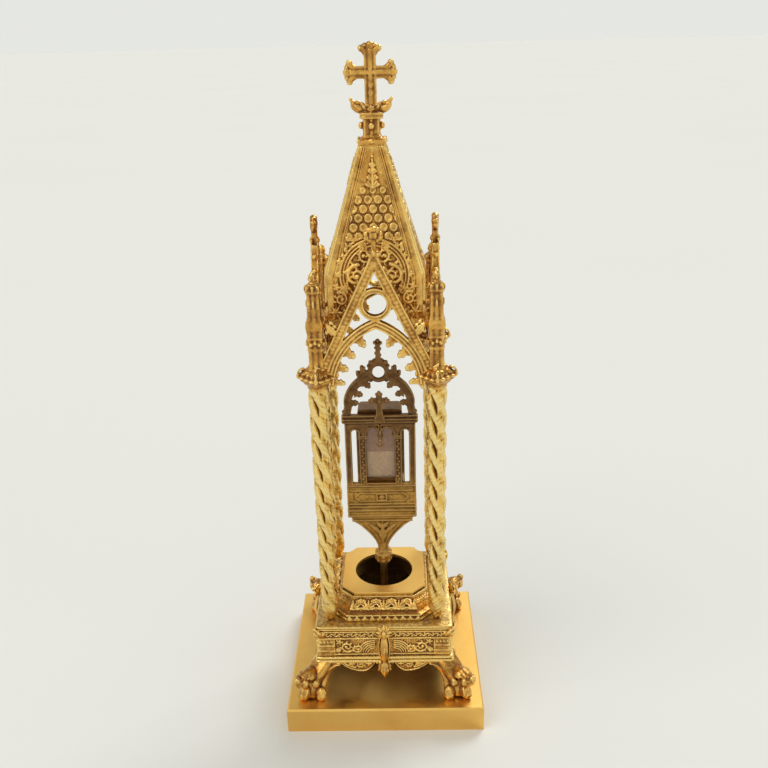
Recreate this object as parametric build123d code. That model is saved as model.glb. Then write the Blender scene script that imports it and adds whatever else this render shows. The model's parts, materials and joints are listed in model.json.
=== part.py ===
"""Gothic table monstrance: a relic case on a turning stem, under an open canopy with a spire.

Millimetres, +Z up, origin at the centre of the base plate's underside. -Y is the front.
"""

import os
from math import sqrt

from build123d import *

# Base plate and feet
BASE_SIDE = 108.0
BASE_HEIGHT = 14.6
BASE_EDGE = 0.9
FOOT_TOP = 33.0
FOOT_SCREW_AT = 40.0

# Pedestal: panels, mouldings, deck
PANEL_FACE = 36.5
PANEL_THICK = 2.5
PANEL_END = 33.0
MOULD_HALF = 38.9
MOULD_TOP = 37.3
FRIEZE_TOP = 53.5
DECK_TOP = 57.0
DECK_HALF = 37.6
DECK_OPENING = 19.0

# Upper plinth and its plate
PLINTH_HALF, PLINTH_FLAT = 32.0, 20.0
PLINTH_BAND_TOP = 60.5
PLATE_HALF, PLATE_FLAT = 23.2, 16.3
PLATE_UNDER, PLATE_TOP = 67.5, 69.0
PLATE_HOLE_R = 16.4

# Columns, capitals, pinnacles
COLUMN_AT = 29.3
COLUMN_BOTTOM_R, COLUMN_TOP_R = 4.4, 5.2
CAPITAL_BOTTOM = 195.0
ABACUS_BOTTOM, ABACUS_TOP = 199.3, 203.8
ABACUS_TIP = 9.6
PINNACLE_BOTTOM, PINNACLE_SHOULDER, PINNACLE_TOP = 205.0, 230.0, 244.5
PINNACLE_LOW_HALF, PINNACLE_HIGH_HALF = 4.0, 3.4
TIE_ROD_R = 1.4
KNOB_TOP = 254.0

# Gables
GABLE_AT = 30.0
GABLE_THICK = 3.0
GABLE_APEX = 261.6
RAKE_SLOPE = 0.485
ARCH_R, ARCH_CENTRE_X, ARCH_SPRING = 35.0, 13.0, 194.0
RING_Z, RING_IN = 237.9, 5.7
GABLE_TOP = 275.0

# Spire and finial
SPIRE_BOTTOM, SPIRE_SHOULDER, SPIRE_TOP = 228.0, 250.5, 308.0
SPIRE_HALF, SPIRE_TIP_HALF = 23.5, 6.1
SPIRE_WALL = 2.2
SPIRE_CAVITY_TOP = 300.0
COLLAR_TOP = 312.6
NECK_HALF = 3.8
NECK_TOP = 320.0
LEAF_TOP = 329.0
CROSS_CENTRE, CROSS_TOP = 340.6, 354.2
CROSS_SPAN = 25.6
CROSS_FOOT = 325.4
ARM_WIDTH = 6.2
STUD_R, STUD_BOTTOM = 1.5, 296.5

# Stem and its guide
STEM_R, TENON_R = 2.1, 1.6
BORE_CLEARANCE = 0.05
BRIDGE_BOTTOM, BRIDGE_TOP = 44.0, 47.0
BUSH_TOP, BUSH_BOTTOM = 52.0, 42.0
KNOB_SEAT = 74.3
TENON_TOP = 97.0

# Relic holder
KNOB_END = 83.2
CONSOLE_TOP = 106.0
HOLDER_BOX_TOP = 126.6
HOLDER_HALF = 19.1
HOLDER_FRONT, HOLDER_FRAME_BACK, HOLDER_BACK = -4.6, -2.2, 9.6
RAIL_BOTTOM, RAIL_TOP, RAIL_HALF = 164.0, 169.0, 20.3
WINDOW_HALF, STRIP_OUT, POST_IN = 7.7, 11.5, 15.5
CREST_RING_Z, CREST_RING_R, CREST_TOP = 193.0, 3.2, 211.0
CREST_HALF = 18.5

# Relic case
CASE_HALF = 12.0
CASE_FRONT, CASE_BACK = -1.9, 9.1
CASE_TOP = 171.0
CASE_WALL = 0.9
COVER_HALF = 9.6
HINGE_X, HINGE_Y, HINGE_R = -10.3, 9.8, 0.55
HINGE_PIN_R = 0.26
CASE_SPANS = ((133.0, 137.0), (160.0, 164.0))
COVER_SPANS = ((137.2, 141.2), (155.8, 159.8))

SIDES = {"front": 0, "right": 90, "back": 180, "left": 270}
CORNERS = {"front_left": 0, "front_right": 90, "back_right": 180, "back_left": 270}


def block(x, y, z):
    """A box from its limits along X, Y and Z, each a (low, high) pair."""
    size = [high - low for low, high in (x, y, z)]
    middle = [(low + high) / 2 for low, high in (x, y, z)]
    return Pos(*middle) * Box(*size)


def rod(radius, z_low, z_high, x=0.0, y=0.0):
    return Pos(x, y, (z_low + z_high) / 2) * Cylinder(radius, z_high - z_low)


def upright(face, y_low, y_high):
    """Extrude a face drawn in X and Z so that it fills y_low to y_high."""
    return extrude(Plane.XZ.offset(-y_high) * face, y_high - y_low)


def polygon(*points):
    return make_face(Polyline(*points, close=True))


def octagon(half, flat, z):
    """A square of half width `half` with cut corners; `flat` is half of each straight edge."""
    corners = []
    for sx, sy, swap in ((1, 1, 0), (-1, 1, 1), (-1, -1, 0), (1, -1, 1)):
        pair = [(sx * half, sy * flat), (sx * flat, sy * half)]
        corners += reversed(pair) if swap else pair
    return Pos(0, 0, z) * polygon(*corners)


def square(half, z):
    return Pos(0, 0, z) * Rectangle(2 * half, 2 * half)


def turned(solid, angle):
    return Rot(0, 0, angle) * solid


def at_corners(solid):
    """Four copies of a solid made at the front left corner, as one compound."""
    return Compound([turned(solid, a).solid() for a in CORNERS.values()])


def screw(head_r, head_low, head_high, shank_r, tip, x, y):
    head = rod(head_r, head_low, head_high, x, y)
    slot = block((x - head_r, x + head_r), (y - 0.5, y + 0.5), (head_low, head_low + 0.8))
    return head - slot + rod(shank_r, head_high, tip, x, y)


# ---- Base ------------------------------------------------------------------------------


def make_base_plate():
    plate = block((-BASE_SIDE / 2, BASE_SIDE / 2), (-BASE_SIDE / 2, BASE_SIDE / 2), (0, BASE_HEIGHT))
    plate = chamfer(plate.edges().group_by(Axis.Z)[-1], BASE_EDGE)
    for sx in (-1, 1):
        for sy in (-1, 1):
            x, y = sx * FOOT_SCREW_AT, sy * FOOT_SCREW_AT
            plate -= rod(2.1, -1, BASE_HEIGHT + 1, x, y)
            plate -= rod(4.3, -1, 4.6, x, y)
    return plate


def make_base_screws():
    return at_corners(screw(4.0, 0.6, 4.6, 2.0, 24.0, -FOOT_SCREW_AT, -FOOT_SCREW_AT))


def make_foot():
    """Front left foot: a leg that splays out from under the moulding to three toes."""
    top = Pos(-32.8, -32.8, FOOT_TOP) * Rectangle(12.0, 12.0)
    knee = Pos(-38.0, -38.0, 24.0) * Rectangle(11.0, 11.0)
    sole = Pos(-40.6, -40.6, BASE_HEIGHT) * Rectangle(10.4, 10.4)
    leg = loft([top, knee]) + loft([knee, sole])
    toe_r = 3.9
    for x, y in ((-45.4, -45.4), (-36.6, -45.0), (-45.0, -36.6)):
        leg += Pos(x, y, BASE_HEIGHT + toe_r - 0.3) * Sphere(toe_r)
    leg -= block((-60, 0), (-60, 0), (0, BASE_HEIGHT))
    return leg - rod(2.05, 0, 24.3, -FOOT_SCREW_AT, -FOOT_SCREW_AT)


# ---- Pedestal --------------------------------------------------------------------------


def make_side_panel():
    """Front panel with its scalloped apron below the moulding."""
    lobe_x, lobe_z, notch_x = 12.4, 26.2, 5.0
    apron_top = 32.6
    edge = Polyline(
        (-PANEL_END, FRIEZE_TOP), (PANEL_END, FRIEZE_TOP), (PANEL_END, FOOT_TOP), (25.5, FOOT_TOP)
    )
    right = ThreePointArc((25.5, FOOT_TOP), (20.0, 28.4), (lobe_x, lobe_z))
    right_notch = ThreePointArc((lobe_x, lobe_z), (7.6, 28.4), (notch_x, apron_top))
    middle = Line((notch_x, apron_top), (-notch_x, apron_top))
    left_notch = ThreePointArc((-notch_x, apron_top), (-7.6, 28.4), (-lobe_x, lobe_z))
    left = ThreePointArc((-lobe_x, lobe_z), (-20.0, 28.4), (-25.5, FOOT_TOP))
    end = Polyline((-25.5, FOOT_TOP), (-PANEL_END, FOOT_TOP), (-PANEL_END, FRIEZE_TOP))
    outline = make_face(edge + right + right_notch + middle + left_notch + left + end)
    return upright(outline, -PANEL_FACE, PANEL_THICK - PANEL_FACE)


def make_corner_posts():
    post = (-PANEL_FACE, -PANEL_END)
    return at_corners(block(post, post, (FOOT_TOP, FRIEZE_TOP)))


def make_lower_moulding():
    ring = extrude(square(MOULD_HALF, FOOT_TOP), MOULD_TOP - FOOT_TOP)
    ring = fillet(ring.edges().group_by(Axis.Z)[-1], 1.2)
    ring = fillet(ring.edges().group_by(Axis.Z)[0], 1.0)
    return ring - extrude(square(PANEL_FACE, 0), 100)


def make_cornice():
    low_step = 55.0
    deck = extrude(square(DECK_HALF - 0.9, FRIEZE_TOP), low_step - FRIEZE_TOP)
    upper = extrude(square(DECK_HALF, low_step), DECK_TOP - low_step)
    deck += fillet(upper.edges().group_by(Axis.Z)[-1], 0.7)
    deck -= extrude(square(DECK_OPENING, 0), 100)
    for x in (-29.5, 29.5):
        deck -= rod(1.55, 0, 56.2, x)
    for sx in (-1, 1):
        for sy in (-1, 1):
            deck -= rod(TIE_ROD_R + 0.1, 0, 100, sx * COLUMN_AT, sy * COLUMN_AT)
    return deck


def make_leaf_bracket(moulding, cornice):
    """Front ornament: a leaf head over the cornice, a tongue, and a drooping leaf below."""
    head = Pos(0, -39.2, 55.4) * Sphere(4.1)
    tongue = loft([Pos(0, -38.9, 53) * Rectangle(5.0, 4.8), Pos(0, -38.6, 37) * Rectangle(4.0, 4.2)])
    leaf = loft([Pos(0, -38.6, 37) * Rectangle(4.0, 4.2), Pos(0, -39.0, 31) * Rectangle(7.0, 4.6)])
    leaf += loft([Pos(0, -39.0, 31) * Rectangle(7.0, 4.6), Pos(0, -38.8, 25.0) * Rectangle(2.0, 2.0)])
    behind = block((-20, 20), (-PANEL_FACE, 0), (0, FRIEZE_TOP))
    return (head + tongue + leaf - behind - moulding - cornice).solids().sort_by(SortBy.VOLUME)[-1]


def make_upper_plinth():
    band = extrude(octagon(PLINTH_HALF, PLINTH_FLAT, DECK_TOP), PLINTH_BAND_TOP - DECK_TOP)
    slope = loft([
        octagon(PLINTH_HALF - 1.5, PLINTH_FLAT - 0.6, PLINTH_BAND_TOP),
        octagon(PLATE_HALF + 0.6, PLATE_FLAT + 0.2, PLATE_UNDER),
    ])
    hollow = rod(18.5, 0, PLATE_UNDER - 2.0)
    return band + slope - hollow - rod(PLATE_HOLE_R + 0.4, 0, 100)


def make_top_plate():
    plate = extrude(octagon(PLATE_HALF, PLATE_FLAT, PLATE_UNDER), PLATE_TOP - PLATE_UNDER)
    plate = chamfer(plate.edges().group_by(Axis.Z)[-1], 0.3)
    return plate - rod(PLATE_HOLE_R, 0, 100)


def make_bridge():
    """Strap under the deck: a bar, two uprights and two flanges."""
    width, reach, wall = 6.0, 24.0, 3.0
    strap = block((-reach - wall, reach + wall), (-width, width), (BRIDGE_BOTTOM, BRIDGE_TOP))
    for side in (-1, 1):
        upright_x = sorted((side * reach, side * (reach + wall)))
        flange_x = sorted((side * reach, side * (reach + 9.0)))
        strap += block(upright_x, (-width, width), (BRIDGE_BOTTOM, FRIEZE_TOP))
        strap += block(flange_x, (-width, width), (FRIEZE_TOP - 2.0, FRIEZE_TOP))
        strap -= rod(1.55, 49, 56, side * 29.5)
    return strap - rod(4.5, 0, 100)


def make_bridge_screws():
    right = screw(2.4, 49.5, 51.5, 1.5, 56.0, 29.5, 0)
    return Compound([right.solid(), turned(right, 180).solid()])


def make_stem_bush():
    sleeve = rod(4.5, BUSH_BOTTOM, BUSH_TOP) + rod(7.0, BRIDGE_TOP, BRIDGE_TOP + 2.0)
    return sleeve - rod(STEM_R + BORE_CLEARANCE, 0, 100)


# ---- Columns and pinnacles -------------------------------------------------------------


def make_column():
    """Front left column round its own axis, then moved to its place."""
    outline = Polyline(
        (0, DECK_TOP), (COLUMN_BOTTOM_R - 1.4, DECK_TOP), (COLUMN_BOTTOM_R, DECK_TOP + 3.0),
        (COLUMN_TOP_R, CAPITAL_BOTTOM), (0, CAPITAL_BOTTOM), close=True,
    )
    shaft = revolve(Plane.XZ * make_face(outline), Axis.Z) - rod(TIE_ROD_R + 0.1, 0, 200)
    return Pos(-COLUMN_AT, -COLUMN_AT, 0) * shaft


def diamond(tip, z):
    return Pos(0, 0, z) * Rot(0, 0, 45) * RectangleRounded(tip * sqrt(2), tip * sqrt(2), tip * 0.12)


def make_capital():
    bell_r = 6.6
    bell = Pos(0, 0, CAPITAL_BOTTOM) * Circle(COLUMN_TOP_R + 0.3)
    bell = loft([bell, Pos(0, 0, ABACUS_BOTTOM) * Circle(bell_r)])
    abacus = extrude(diamond(ABACUS_TIP, ABACUS_BOTTOM), ABACUS_TOP - ABACUS_BOTTOM)
    cushion = loft([diamond(ABACUS_TIP - 1.5, ABACUS_TOP), diamond(6.4, PINNACLE_BOTTOM)])
    whole = bell + abacus + cushion - rod(TIE_ROD_R + 0.1, 0, 300)
    return Pos(-COLUMN_AT, -COLUMN_AT, 0) * whole


def make_pinnacle():
    low = extrude(square(PINNACLE_LOW_HALF, PINNACLE_BOTTOM), PINNACLE_SHOULDER - PINNACLE_BOTTOM)
    low = chamfer(low.edges().filter_by(Axis.Z), 1.1)
    shoulder = loft([square(3.9, PINNACLE_SHOULDER), square(PINNACLE_HIGH_HALF, 232.0)])
    high = extrude(square(PINNACLE_HIGH_HALF, 232.0), PINNACLE_TOP - 232.0)
    leaves = loft([square(3.4, PINNACLE_TOP), square(4.3, 246.6)])
    leaves += loft([square(4.3, 246.6), square(3.0, 248.6)])
    whole = low + shoulder + high + leaves - rod(TIE_ROD_R + 0.1, 0, 300)
    return Pos(-COLUMN_AT, -COLUMN_AT, 0) * whole


def make_tie_rods():
    head = rod(3.0, FRIEZE_TOP - 2.4, FRIEZE_TOP)
    return at_corners(Pos(-COLUMN_AT, -COLUMN_AT, 0) * (head + rod(TIE_ROD_R, FRIEZE_TOP, 252.0)))


def make_pinnacle_nuts():
    knob = rod(2.0, 248.6, 250.2) + Pos(0, 0, KNOB_TOP - 2.5) * Sphere(2.5)
    knob -= rod(TIE_ROD_R, 0, 252.1)
    return at_corners(Pos(-COLUMN_AT, -COLUMN_AT, 0) * knob)


# ---- Gables ----------------------------------------------------------------------------


def rake_x(z):
    """Outer half width of the gable at height z."""
    return 1.0 + (GABLE_APEX - z) * RAKE_SLOPE


def pointed_arch(radius):
    """The lens above the springing line under two arcs that cross at the apex."""
    right = Pos(-ARCH_CENTRE_X, ARCH_SPRING) * Circle(radius)
    left = Pos(ARCH_CENTRE_X, ARCH_SPRING) * Circle(radius)
    above = Pos(0, ARCH_SPRING + 50) * Rectangle(200, 100)
    return (right & left) & above


def make_gable(corner_pieces):
    foot_z = ABACUS_BOTTOM
    face = polygon(
        (-24.6, foot_z), (-rake_x(206.0), 206.0), (-1.0, GABLE_APEX),
        (1.0, GABLE_APEX), (rake_x(206.0), 206.0), (24.6, foot_z),
    )
    face -= pointed_arch(ARCH_R)
    face -= Pos(0, RING_Z) * Circle(RING_IN)
    face -= polygon((0, GABLE_APEX - 8.6), (-3.3, 246.3), (3.3, 246.3))
    for side in (-1, 1):
        face -= polygon((side * 12.6, 226.2), (side * 8.4, 235.0), (side * 5.2, 230.6))
    face += Pos(0, 265.0) * Rectangle(3.2, 8.0)
    face += Pos(0, GABLE_TOP - 3.4) * Ellipse(4.5, 3.4)
    gable = upright(face, -GABLE_AT - GABLE_THICK / 2, -GABLE_AT + GABLE_THICK / 2)
    for piece in corner_pieces:
        gable -= piece
    return gable.solids().sort_by(SortBy.VOLUME)[-1]


# ---- Spire -----------------------------------------------------------------------------


def make_spire_shell(pinnacle):
    outer = extrude(square(SPIRE_HALF, SPIRE_BOTTOM), SPIRE_SHOULDER - SPIRE_BOTTOM)
    outer += loft([square(SPIRE_HALF, SPIRE_SHOULDER), square(SPIRE_TIP_HALF, SPIRE_TOP)])
    lug_in, lug_out = SPIRE_HALF - 3.0, COLUMN_AT - PINNACLE_HIGH_HALF + 0.6
    for angle in CORNERS.values():
        lug = block((-lug_out, -lug_in), (-lug_out, -lug_in), (232.0, 242.0)) - pinnacle
        outer += turned(lug, angle)
    inner = extrude(square(SPIRE_HALF - SPIRE_WALL, 200), SPIRE_SHOULDER - 200)
    inner += loft([square(SPIRE_HALF - SPIRE_WALL, SPIRE_SHOULDER), square(6.3, SPIRE_CAVITY_TOP)])
    shell = outer - inner - rod(STUD_R + 0.1, 290, 320)
    opening = polygon((-12.4, 220), (-12.4, SPIRE_BOTTOM), (0, 252.6), (12.4, SPIRE_BOTTOM), (12.4, 220))
    window = upright(opening, -50, 50)
    return shell - window - turned(window, 90)


def make_spire_collar():
    collar = extrude(square(SPIRE_TIP_HALF + 0.5, SPIRE_TOP), 1.2)
    collar += loft([square(7.1, SPIRE_TOP + 1.2), square(7.1, SPIRE_TOP + 2.4)])
    collar += loft([square(7.1, SPIRE_TOP + 2.4), square(NECK_HALF, COLLAR_TOP)])
    collar += extrude(square(NECK_HALF, COLLAR_TOP), NECK_TOP - COLLAR_TOP)
    for angle in SIDES.values():
        collar += turned(Pos(0, -4.6, 317.0) * Sphere(2.0), angle)
    return collar - rod(STUD_R + 0.1, 290, 330)


def make_leaf_collar():
    collar = rod(5.6, NECK_TOP, NECK_TOP + 3.0)
    collar += loft([square(4.0, NECK_TOP + 3.0), square(9.4, LEAF_TOP - 2.0)])
    collar += loft([square(9.4, LEAF_TOP - 2.0), square(9.4, LEAF_TOP)])
    cup = loft([square(3.2, CROSS_FOOT), square(8.6, LEAF_TOP + 1.0)])
    return collar - rod(STUD_R + 0.1, 290, LEAF_TOP) - cup


def make_cross_finial():
    """The cross with its stud, which runs down through the collars to the nut in the spire."""
    depth, lobe_r = 2.2, 4.0
    side_lobe = CROSS_SPAN / 2 - lobe_r
    face = Pos(0, (CROSS_FOOT + CROSS_TOP) / 2) * Rectangle(ARM_WIDTH, CROSS_TOP - CROSS_FOOT)
    face += Pos(0, CROSS_CENTRE) * Rectangle(CROSS_SPAN, ARM_WIDTH + 0.6)
    for x, z in ((0, CROSS_TOP - lobe_r), (-side_lobe, CROSS_CENTRE), (side_lobe, CROSS_CENTRE)):
        face += Pos(x, z) * Circle(lobe_r)
    return upright(face, -depth, depth) + rod(STUD_R, STUD_BOTTOM, CROSS_FOOT + 0.6)


def make_finial_nut():
    nut_height = 3.0
    nut = Pos(0, 0, SPIRE_CAVITY_TOP - nut_height) * RegularPolygon(3.4, 6)
    return extrude(nut, nut_height) - rod(STUD_R, 290, 305)


# ---- Stem ------------------------------------------------------------------------------


def make_stem_rod():
    stem = rod(STEM_R, 37.6, KNOB_SEAT) + rod(TENON_R, KNOB_SEAT, TENON_TOP)
    return stem + rod(3.4, BUSH_TOP, BUSH_TOP + 2.0)


def make_stem_nut():
    nut = extrude(Pos(0, 0, 38.4) * RegularPolygon(4.0, 6), 3.4)
    return nut - rod(STEM_R, 30, 50)


# ---- Relic holder ----------------------------------------------------------------------


def make_console_knob():
    ball = Pos(0, 0, (KNOB_SEAT + KNOB_END) / 2) * Sphere(5.2)
    ball &= rod(9, KNOB_SEAT, KNOB_END)
    return ball - rod(TENON_R + BORE_CLEARANCE, 0, 200)


def make_console():
    """Bracket with concave sides from the knob up to the box under the window, and that box."""
    neck, shoulder = 3.2, 16.8
    shoulder_z = 103.0
    right = ThreePointArc((neck, 86.0), (8.0, 95.4), (shoulder, shoulder_z))
    left = ThreePointArc((-shoulder, shoulder_z), (-8.0, 95.4), (-neck, 86.0))
    neck_end = Polyline((-neck, 86.0), (-neck, KNOB_END), (neck, KNOB_END), (neck, 86.0))
    shelf = Polyline(
        (shoulder, shoulder_z), (shoulder, CONSOLE_TOP), (-shoulder, CONSOLE_TOP), (-shoulder, shoulder_z)
    )
    outline = make_face(neck_end + right + shelf + left)
    bracket = upright(outline, -3.6, 3.6)
    box = block((-HOLDER_HALF, HOLDER_HALF), (HOLDER_FRONT, HOLDER_BACK), (CONSOLE_TOP, HOLDER_BOX_TOP))
    recess = block((-17.4, 17.4), (-9, HOLDER_FRONT + 0.5), (112.0, 121.0))
    tenon_hole = rod(TENON_R + BORE_CLEARANCE, 0, TENON_TOP + 0.6)
    return bracket + box - recess - tenon_hole


def make_holder_frame():
    """Front plate on the box: two posts, two strips, the window between them, the top rail."""
    low = HOLDER_BOX_TOP
    face = Pos(0, (low + RAIL_BOTTOM) / 2) * Rectangle(2 * HOLDER_HALF, RAIL_BOTTOM - low)
    face -= Pos(0, (low + RAIL_BOTTOM) / 2) * Rectangle(2 * WINDOW_HALF, RAIL_BOTTOM - low)
    slot_width = POST_IN - STRIP_OUT
    slot_top = 159.6
    for side in (-1, 1):
        x = side * (POST_IN + STRIP_OUT) / 2
        face -= Pos(x, (low + slot_top) / 2) * Rectangle(slot_width, slot_top - low)
        face -= Pos(x, slot_top) * Circle(slot_width / 2)
        head = Pos(side * 3.9, 158.0) * Rectangle(7.6, 12.0) - Pos(side * 3.9, 155.6) * Circle(3.5)
        head -= Pos(side * 3.9, 152.0) * Rectangle(7.0, 7.2)
        face += head & Pos(0, 160.0) * Rectangle(16, 8.0)
    face += Pos(0, 157.5) * Rectangle(1.3, 13.0)
    frame = upright(face, HOLDER_FRONT, HOLDER_FRAME_BACK)
    rail = block((-RAIL_HALF, RAIL_HALF), (HOLDER_FRONT - 0.9, HOLDER_FRAME_BACK), (RAIL_BOTTOM, RAIL_TOP))
    return frame + chamfer(rail.edges().filter_by(Axis.X).group_by(Axis.Y)[0], 0.8)


def make_crest_arch():
    """Pierced arch on the rail: two legs, a ring with an eye, and a stalk."""
    hollow_half, foot_half = CREST_HALF - 3.6, 16.4
    outer = polygon(
        (-foot_half - 2.2, RAIL_TOP), (-CREST_HALF, 177.6), (-15.2, 185.6), (-5.0, 194.6), (-5.0, 198.0),
        (5.0, 198.0), (5.0, 194.6), (15.2, 185.6), (CREST_HALF, 177.6), (foot_half + 2.2, RAIL_TOP),
    )
    inner = polygon(
        (-foot_half + 2.4, RAIL_TOP), (-hollow_half, 177.4), (-12.0, 183.4), (-3.4, 188.6),
        (3.4, 188.6), (12.0, 183.4), (hollow_half, 177.4), (foot_half - 2.4, RAIL_TOP),
    )
    face = outer - inner + Pos(0, CREST_RING_Z) * Circle(5.2)
    face += Pos(0, (196 + CREST_TOP) / 2) * Rectangle(2.2, CREST_TOP - 196)
    face += Pos(0, CREST_TOP - 2.4) * Circle(2.1)
    face -= Pos(0, CREST_RING_Z) * Circle(CREST_RING_R)
    return upright(face, HOLDER_FRONT + 0.4, HOLDER_FRAME_BACK)


def make_small_cross():
    face = Pos(0, 173.6) * Rectangle(2.6, 18.0) + Pos(0, 178.0) * Rectangle(10.2, 2.6)
    for x, z in ((0, 181.2), (-3.7, 178.0), (3.7, 178.0)):
        face += Pos(x, z) * Circle(1.9)
    return upright(face, HOLDER_FRONT - 2.1, HOLDER_FRONT - 0.9)


def make_guide_rails():
    """Two channels behind the strips, in which the relic case slides."""
    gap, wall, lip = 0.15, 0.8, 1.0
    inside = CASE_HALF + gap
    back = CASE_BACK + gap
    rail = block((inside, inside + wall), (HOLDER_FRAME_BACK, back + 0.7), (HOLDER_BOX_TOP, 160.0))
    rail += block((inside - lip, inside), (back, back + 0.7), (HOLDER_BOX_TOP, 160.0))
    return Compound([rail.solid(), mirror(rail, Plane.YZ).solid()])


# ---- Relic case ------------------------------------------------------------------------


def make_theca_case():
    """Case open at the front for the glass and at the back for the door."""
    base = HOLDER_BOX_TOP
    body = block((-CASE_HALF, CASE_HALF), (CASE_FRONT, CASE_BACK), (base, CASE_TOP))
    body = fillet(body.edges().filter_by(Axis.Y).group_by(Axis.Z)[-1], 2.4)
    inside = CASE_HALF - CASE_WALL
    depth = (CASE_FRONT + CASE_WALL, CASE_BACK - CASE_WALL)
    body -= block((-inside, inside), depth, (base + CASE_WALL, CASE_TOP - 2.2))
    body -= block((-9.6, 9.6), (-9, 0), (base + 2.4, CASE_TOP - 3.0))
    return body - block((-COVER_HALF, COVER_HALF), (0, 20), (base + 2.4, CASE_TOP - 3.0))


def make_glass_pane():
    inside = CASE_HALF - CASE_WALL
    front = CASE_FRONT + CASE_WALL
    return block((-inside, inside), (front, front + 1.0), (HOLDER_BOX_TOP + CASE_WALL, CASE_TOP - 2.2))


def make_relic_board():
    inside = CASE_HALF - CASE_WALL
    return block((-inside, inside), (1.4, 2.4), (HOLDER_BOX_TOP + CASE_WALL, CASE_TOP - 2.2))


def make_relic_label():
    return block((-7.4, 7.4), (1.1, 1.4), (HOLDER_BOX_TOP + 1.4, 144.6))


def make_back_cover():
    """Door over the back opening, with its knuckles between those of the case."""
    gap = 0.15
    door = block((-COVER_HALF - 0.2, COVER_HALF + 1.0), (CASE_BACK + gap, CASE_BACK + 1.0),
                 (HOLDER_BOX_TOP + 1.6, CASE_TOP - 2.2))
    for low, high in CASE_SPANS:
        door -= block((-12, HINGE_X + HINGE_R + 0.3), (0, 20), (low - 0.2, high + 0.2))
    for low, high in COVER_SPANS:
        door += rod(HINGE_R, low, high, HINGE_X, HINGE_Y)
        door += block((HINGE_X, HINGE_X + 1.2), (CASE_BACK + gap, HINGE_Y), (low, high))
    return door - rod(HINGE_PIN_R + BORE_CLEARANCE, 120, 180, HINGE_X, HINGE_Y)


def make_case_hinge():
    """The case's knuckles, each with a web to the case's back, and the pin through them all."""
    leaf = rod(HINGE_PIN_R, CASE_SPANS[0][0], CASE_SPANS[1][1], HINGE_X, HINGE_Y)
    for low, high in CASE_SPANS:
        leaf += rod(HINGE_R, low, high, HINGE_X, HINGE_Y)
        leaf += block((HINGE_X - 0.5, HINGE_X + 0.3), (CASE_BACK, HINGE_Y), (low, high))
    return leaf


def make_cover_knob():
    stalk = Pos(8.0, CASE_BACK + 1.6, 149.0) * Rot(90, 0, 0) * Cylinder(0.7, 1.2)
    return stalk + Pos(8.0, CASE_BACK + 2.8, 149.0) * Sphere(1.1)


# ---- All nodes -------------------------------------------------------------------------


def make_all():
    nodes = {"base_plate": make_base_plate(), "base_screws": make_base_screws()}
    moulding, cornice = make_lower_moulding(), make_cornice()
    column, capital, pinnacle = make_column(), make_capital(), make_pinnacle()
    foot = make_foot()
    for corner, angle in CORNERS.items():
        nodes["foot_" + corner] = turned(foot, angle)
        nodes["column_" + corner] = turned(column, angle)
        nodes["capital_" + corner] = turned(capital, angle)
        nodes["pinnacle_" + corner] = turned(pinnacle, angle)
    corner_pieces = [turned(p, a) for p in (capital, pinnacle) for a in (0, 90)]
    panel, bracket = make_side_panel(), make_leaf_bracket(moulding, cornice)
    gable = make_gable(corner_pieces)
    for side, angle in SIDES.items():
        nodes["side_panel_" + side] = turned(panel, angle)
        nodes["leaf_bracket_" + side] = turned(bracket, angle)
        nodes["gable_" + side] = turned(gable, angle)
    nodes["lower_moulding"] = moulding
    nodes["cornice"] = cornice
    nodes["corner_posts"] = make_corner_posts()
    nodes["upper_plinth"] = make_upper_plinth()
    nodes["top_plate"] = make_top_plate()
    nodes["tie_rods"] = make_tie_rods()
    nodes["pinnacle_nuts"] = make_pinnacle_nuts()
    nodes["spire_shell"] = make_spire_shell(pinnacle)
    nodes["spire_collar"] = make_spire_collar()
    nodes["leaf_collar"] = make_leaf_collar()
    nodes["cross_finial"] = make_cross_finial()
    nodes["finial_nut"] = make_finial_nut()
    nodes["bridge"] = make_bridge()
    nodes["bridge_screws"] = make_bridge_screws()
    nodes["stem_bush"] = make_stem_bush()
    nodes["stem_rod"] = make_stem_rod()
    nodes["stem_nut"] = make_stem_nut()
    nodes["console_knob"] = make_console_knob()
    nodes["console"] = make_console()
    nodes["holder_frame"] = make_holder_frame()
    nodes["crest_arch"] = make_crest_arch()
    nodes["small_cross"] = make_small_cross()
    nodes["guide_rails"] = make_guide_rails()
    nodes["theca_case"] = make_theca_case()
    nodes["case_hinge"] = make_case_hinge()
    nodes["glass_pane"] = make_glass_pane()
    nodes["relic_board"] = make_relic_board()
    nodes["relic_label"] = make_relic_label()
    nodes["back_cover"] = make_back_cover()
    nodes["cover_knob"] = make_cover_knob()
    return nodes


os.makedirs("parts", exist_ok=True)
for name, solid in make_all().items():
    export_step(solid, f"parts/{name}.step")
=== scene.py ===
"""Looks of the Gothic table monstrance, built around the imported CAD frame.

Shapes are written in millimetres in the CAD frame (+Z up, -Y is the front) and scaled once,
where a Blender mesh is made from them.
"""

import json
import math

import bmesh
import bpy
import numpy as np
from mathutils import Matrix, Vector


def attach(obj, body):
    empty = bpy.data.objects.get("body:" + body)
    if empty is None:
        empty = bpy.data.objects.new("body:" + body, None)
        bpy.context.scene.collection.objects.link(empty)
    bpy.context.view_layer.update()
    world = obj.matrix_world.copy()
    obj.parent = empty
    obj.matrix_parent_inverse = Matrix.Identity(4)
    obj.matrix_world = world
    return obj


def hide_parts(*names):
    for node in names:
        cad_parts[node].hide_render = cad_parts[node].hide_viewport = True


MM = 0.001
TAU = 2 * math.pi
SIDES = {"front": 0, "right": 90, "back": 180, "left": 270}
CORNERS = {"front_left": 0, "front_right": 90, "back_right": 180, "back_left": 270}
ACROSS = np.array((0.0, 1.0, 0.0))
UP = np.array((0.0, 0.0, 1.0))

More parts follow.
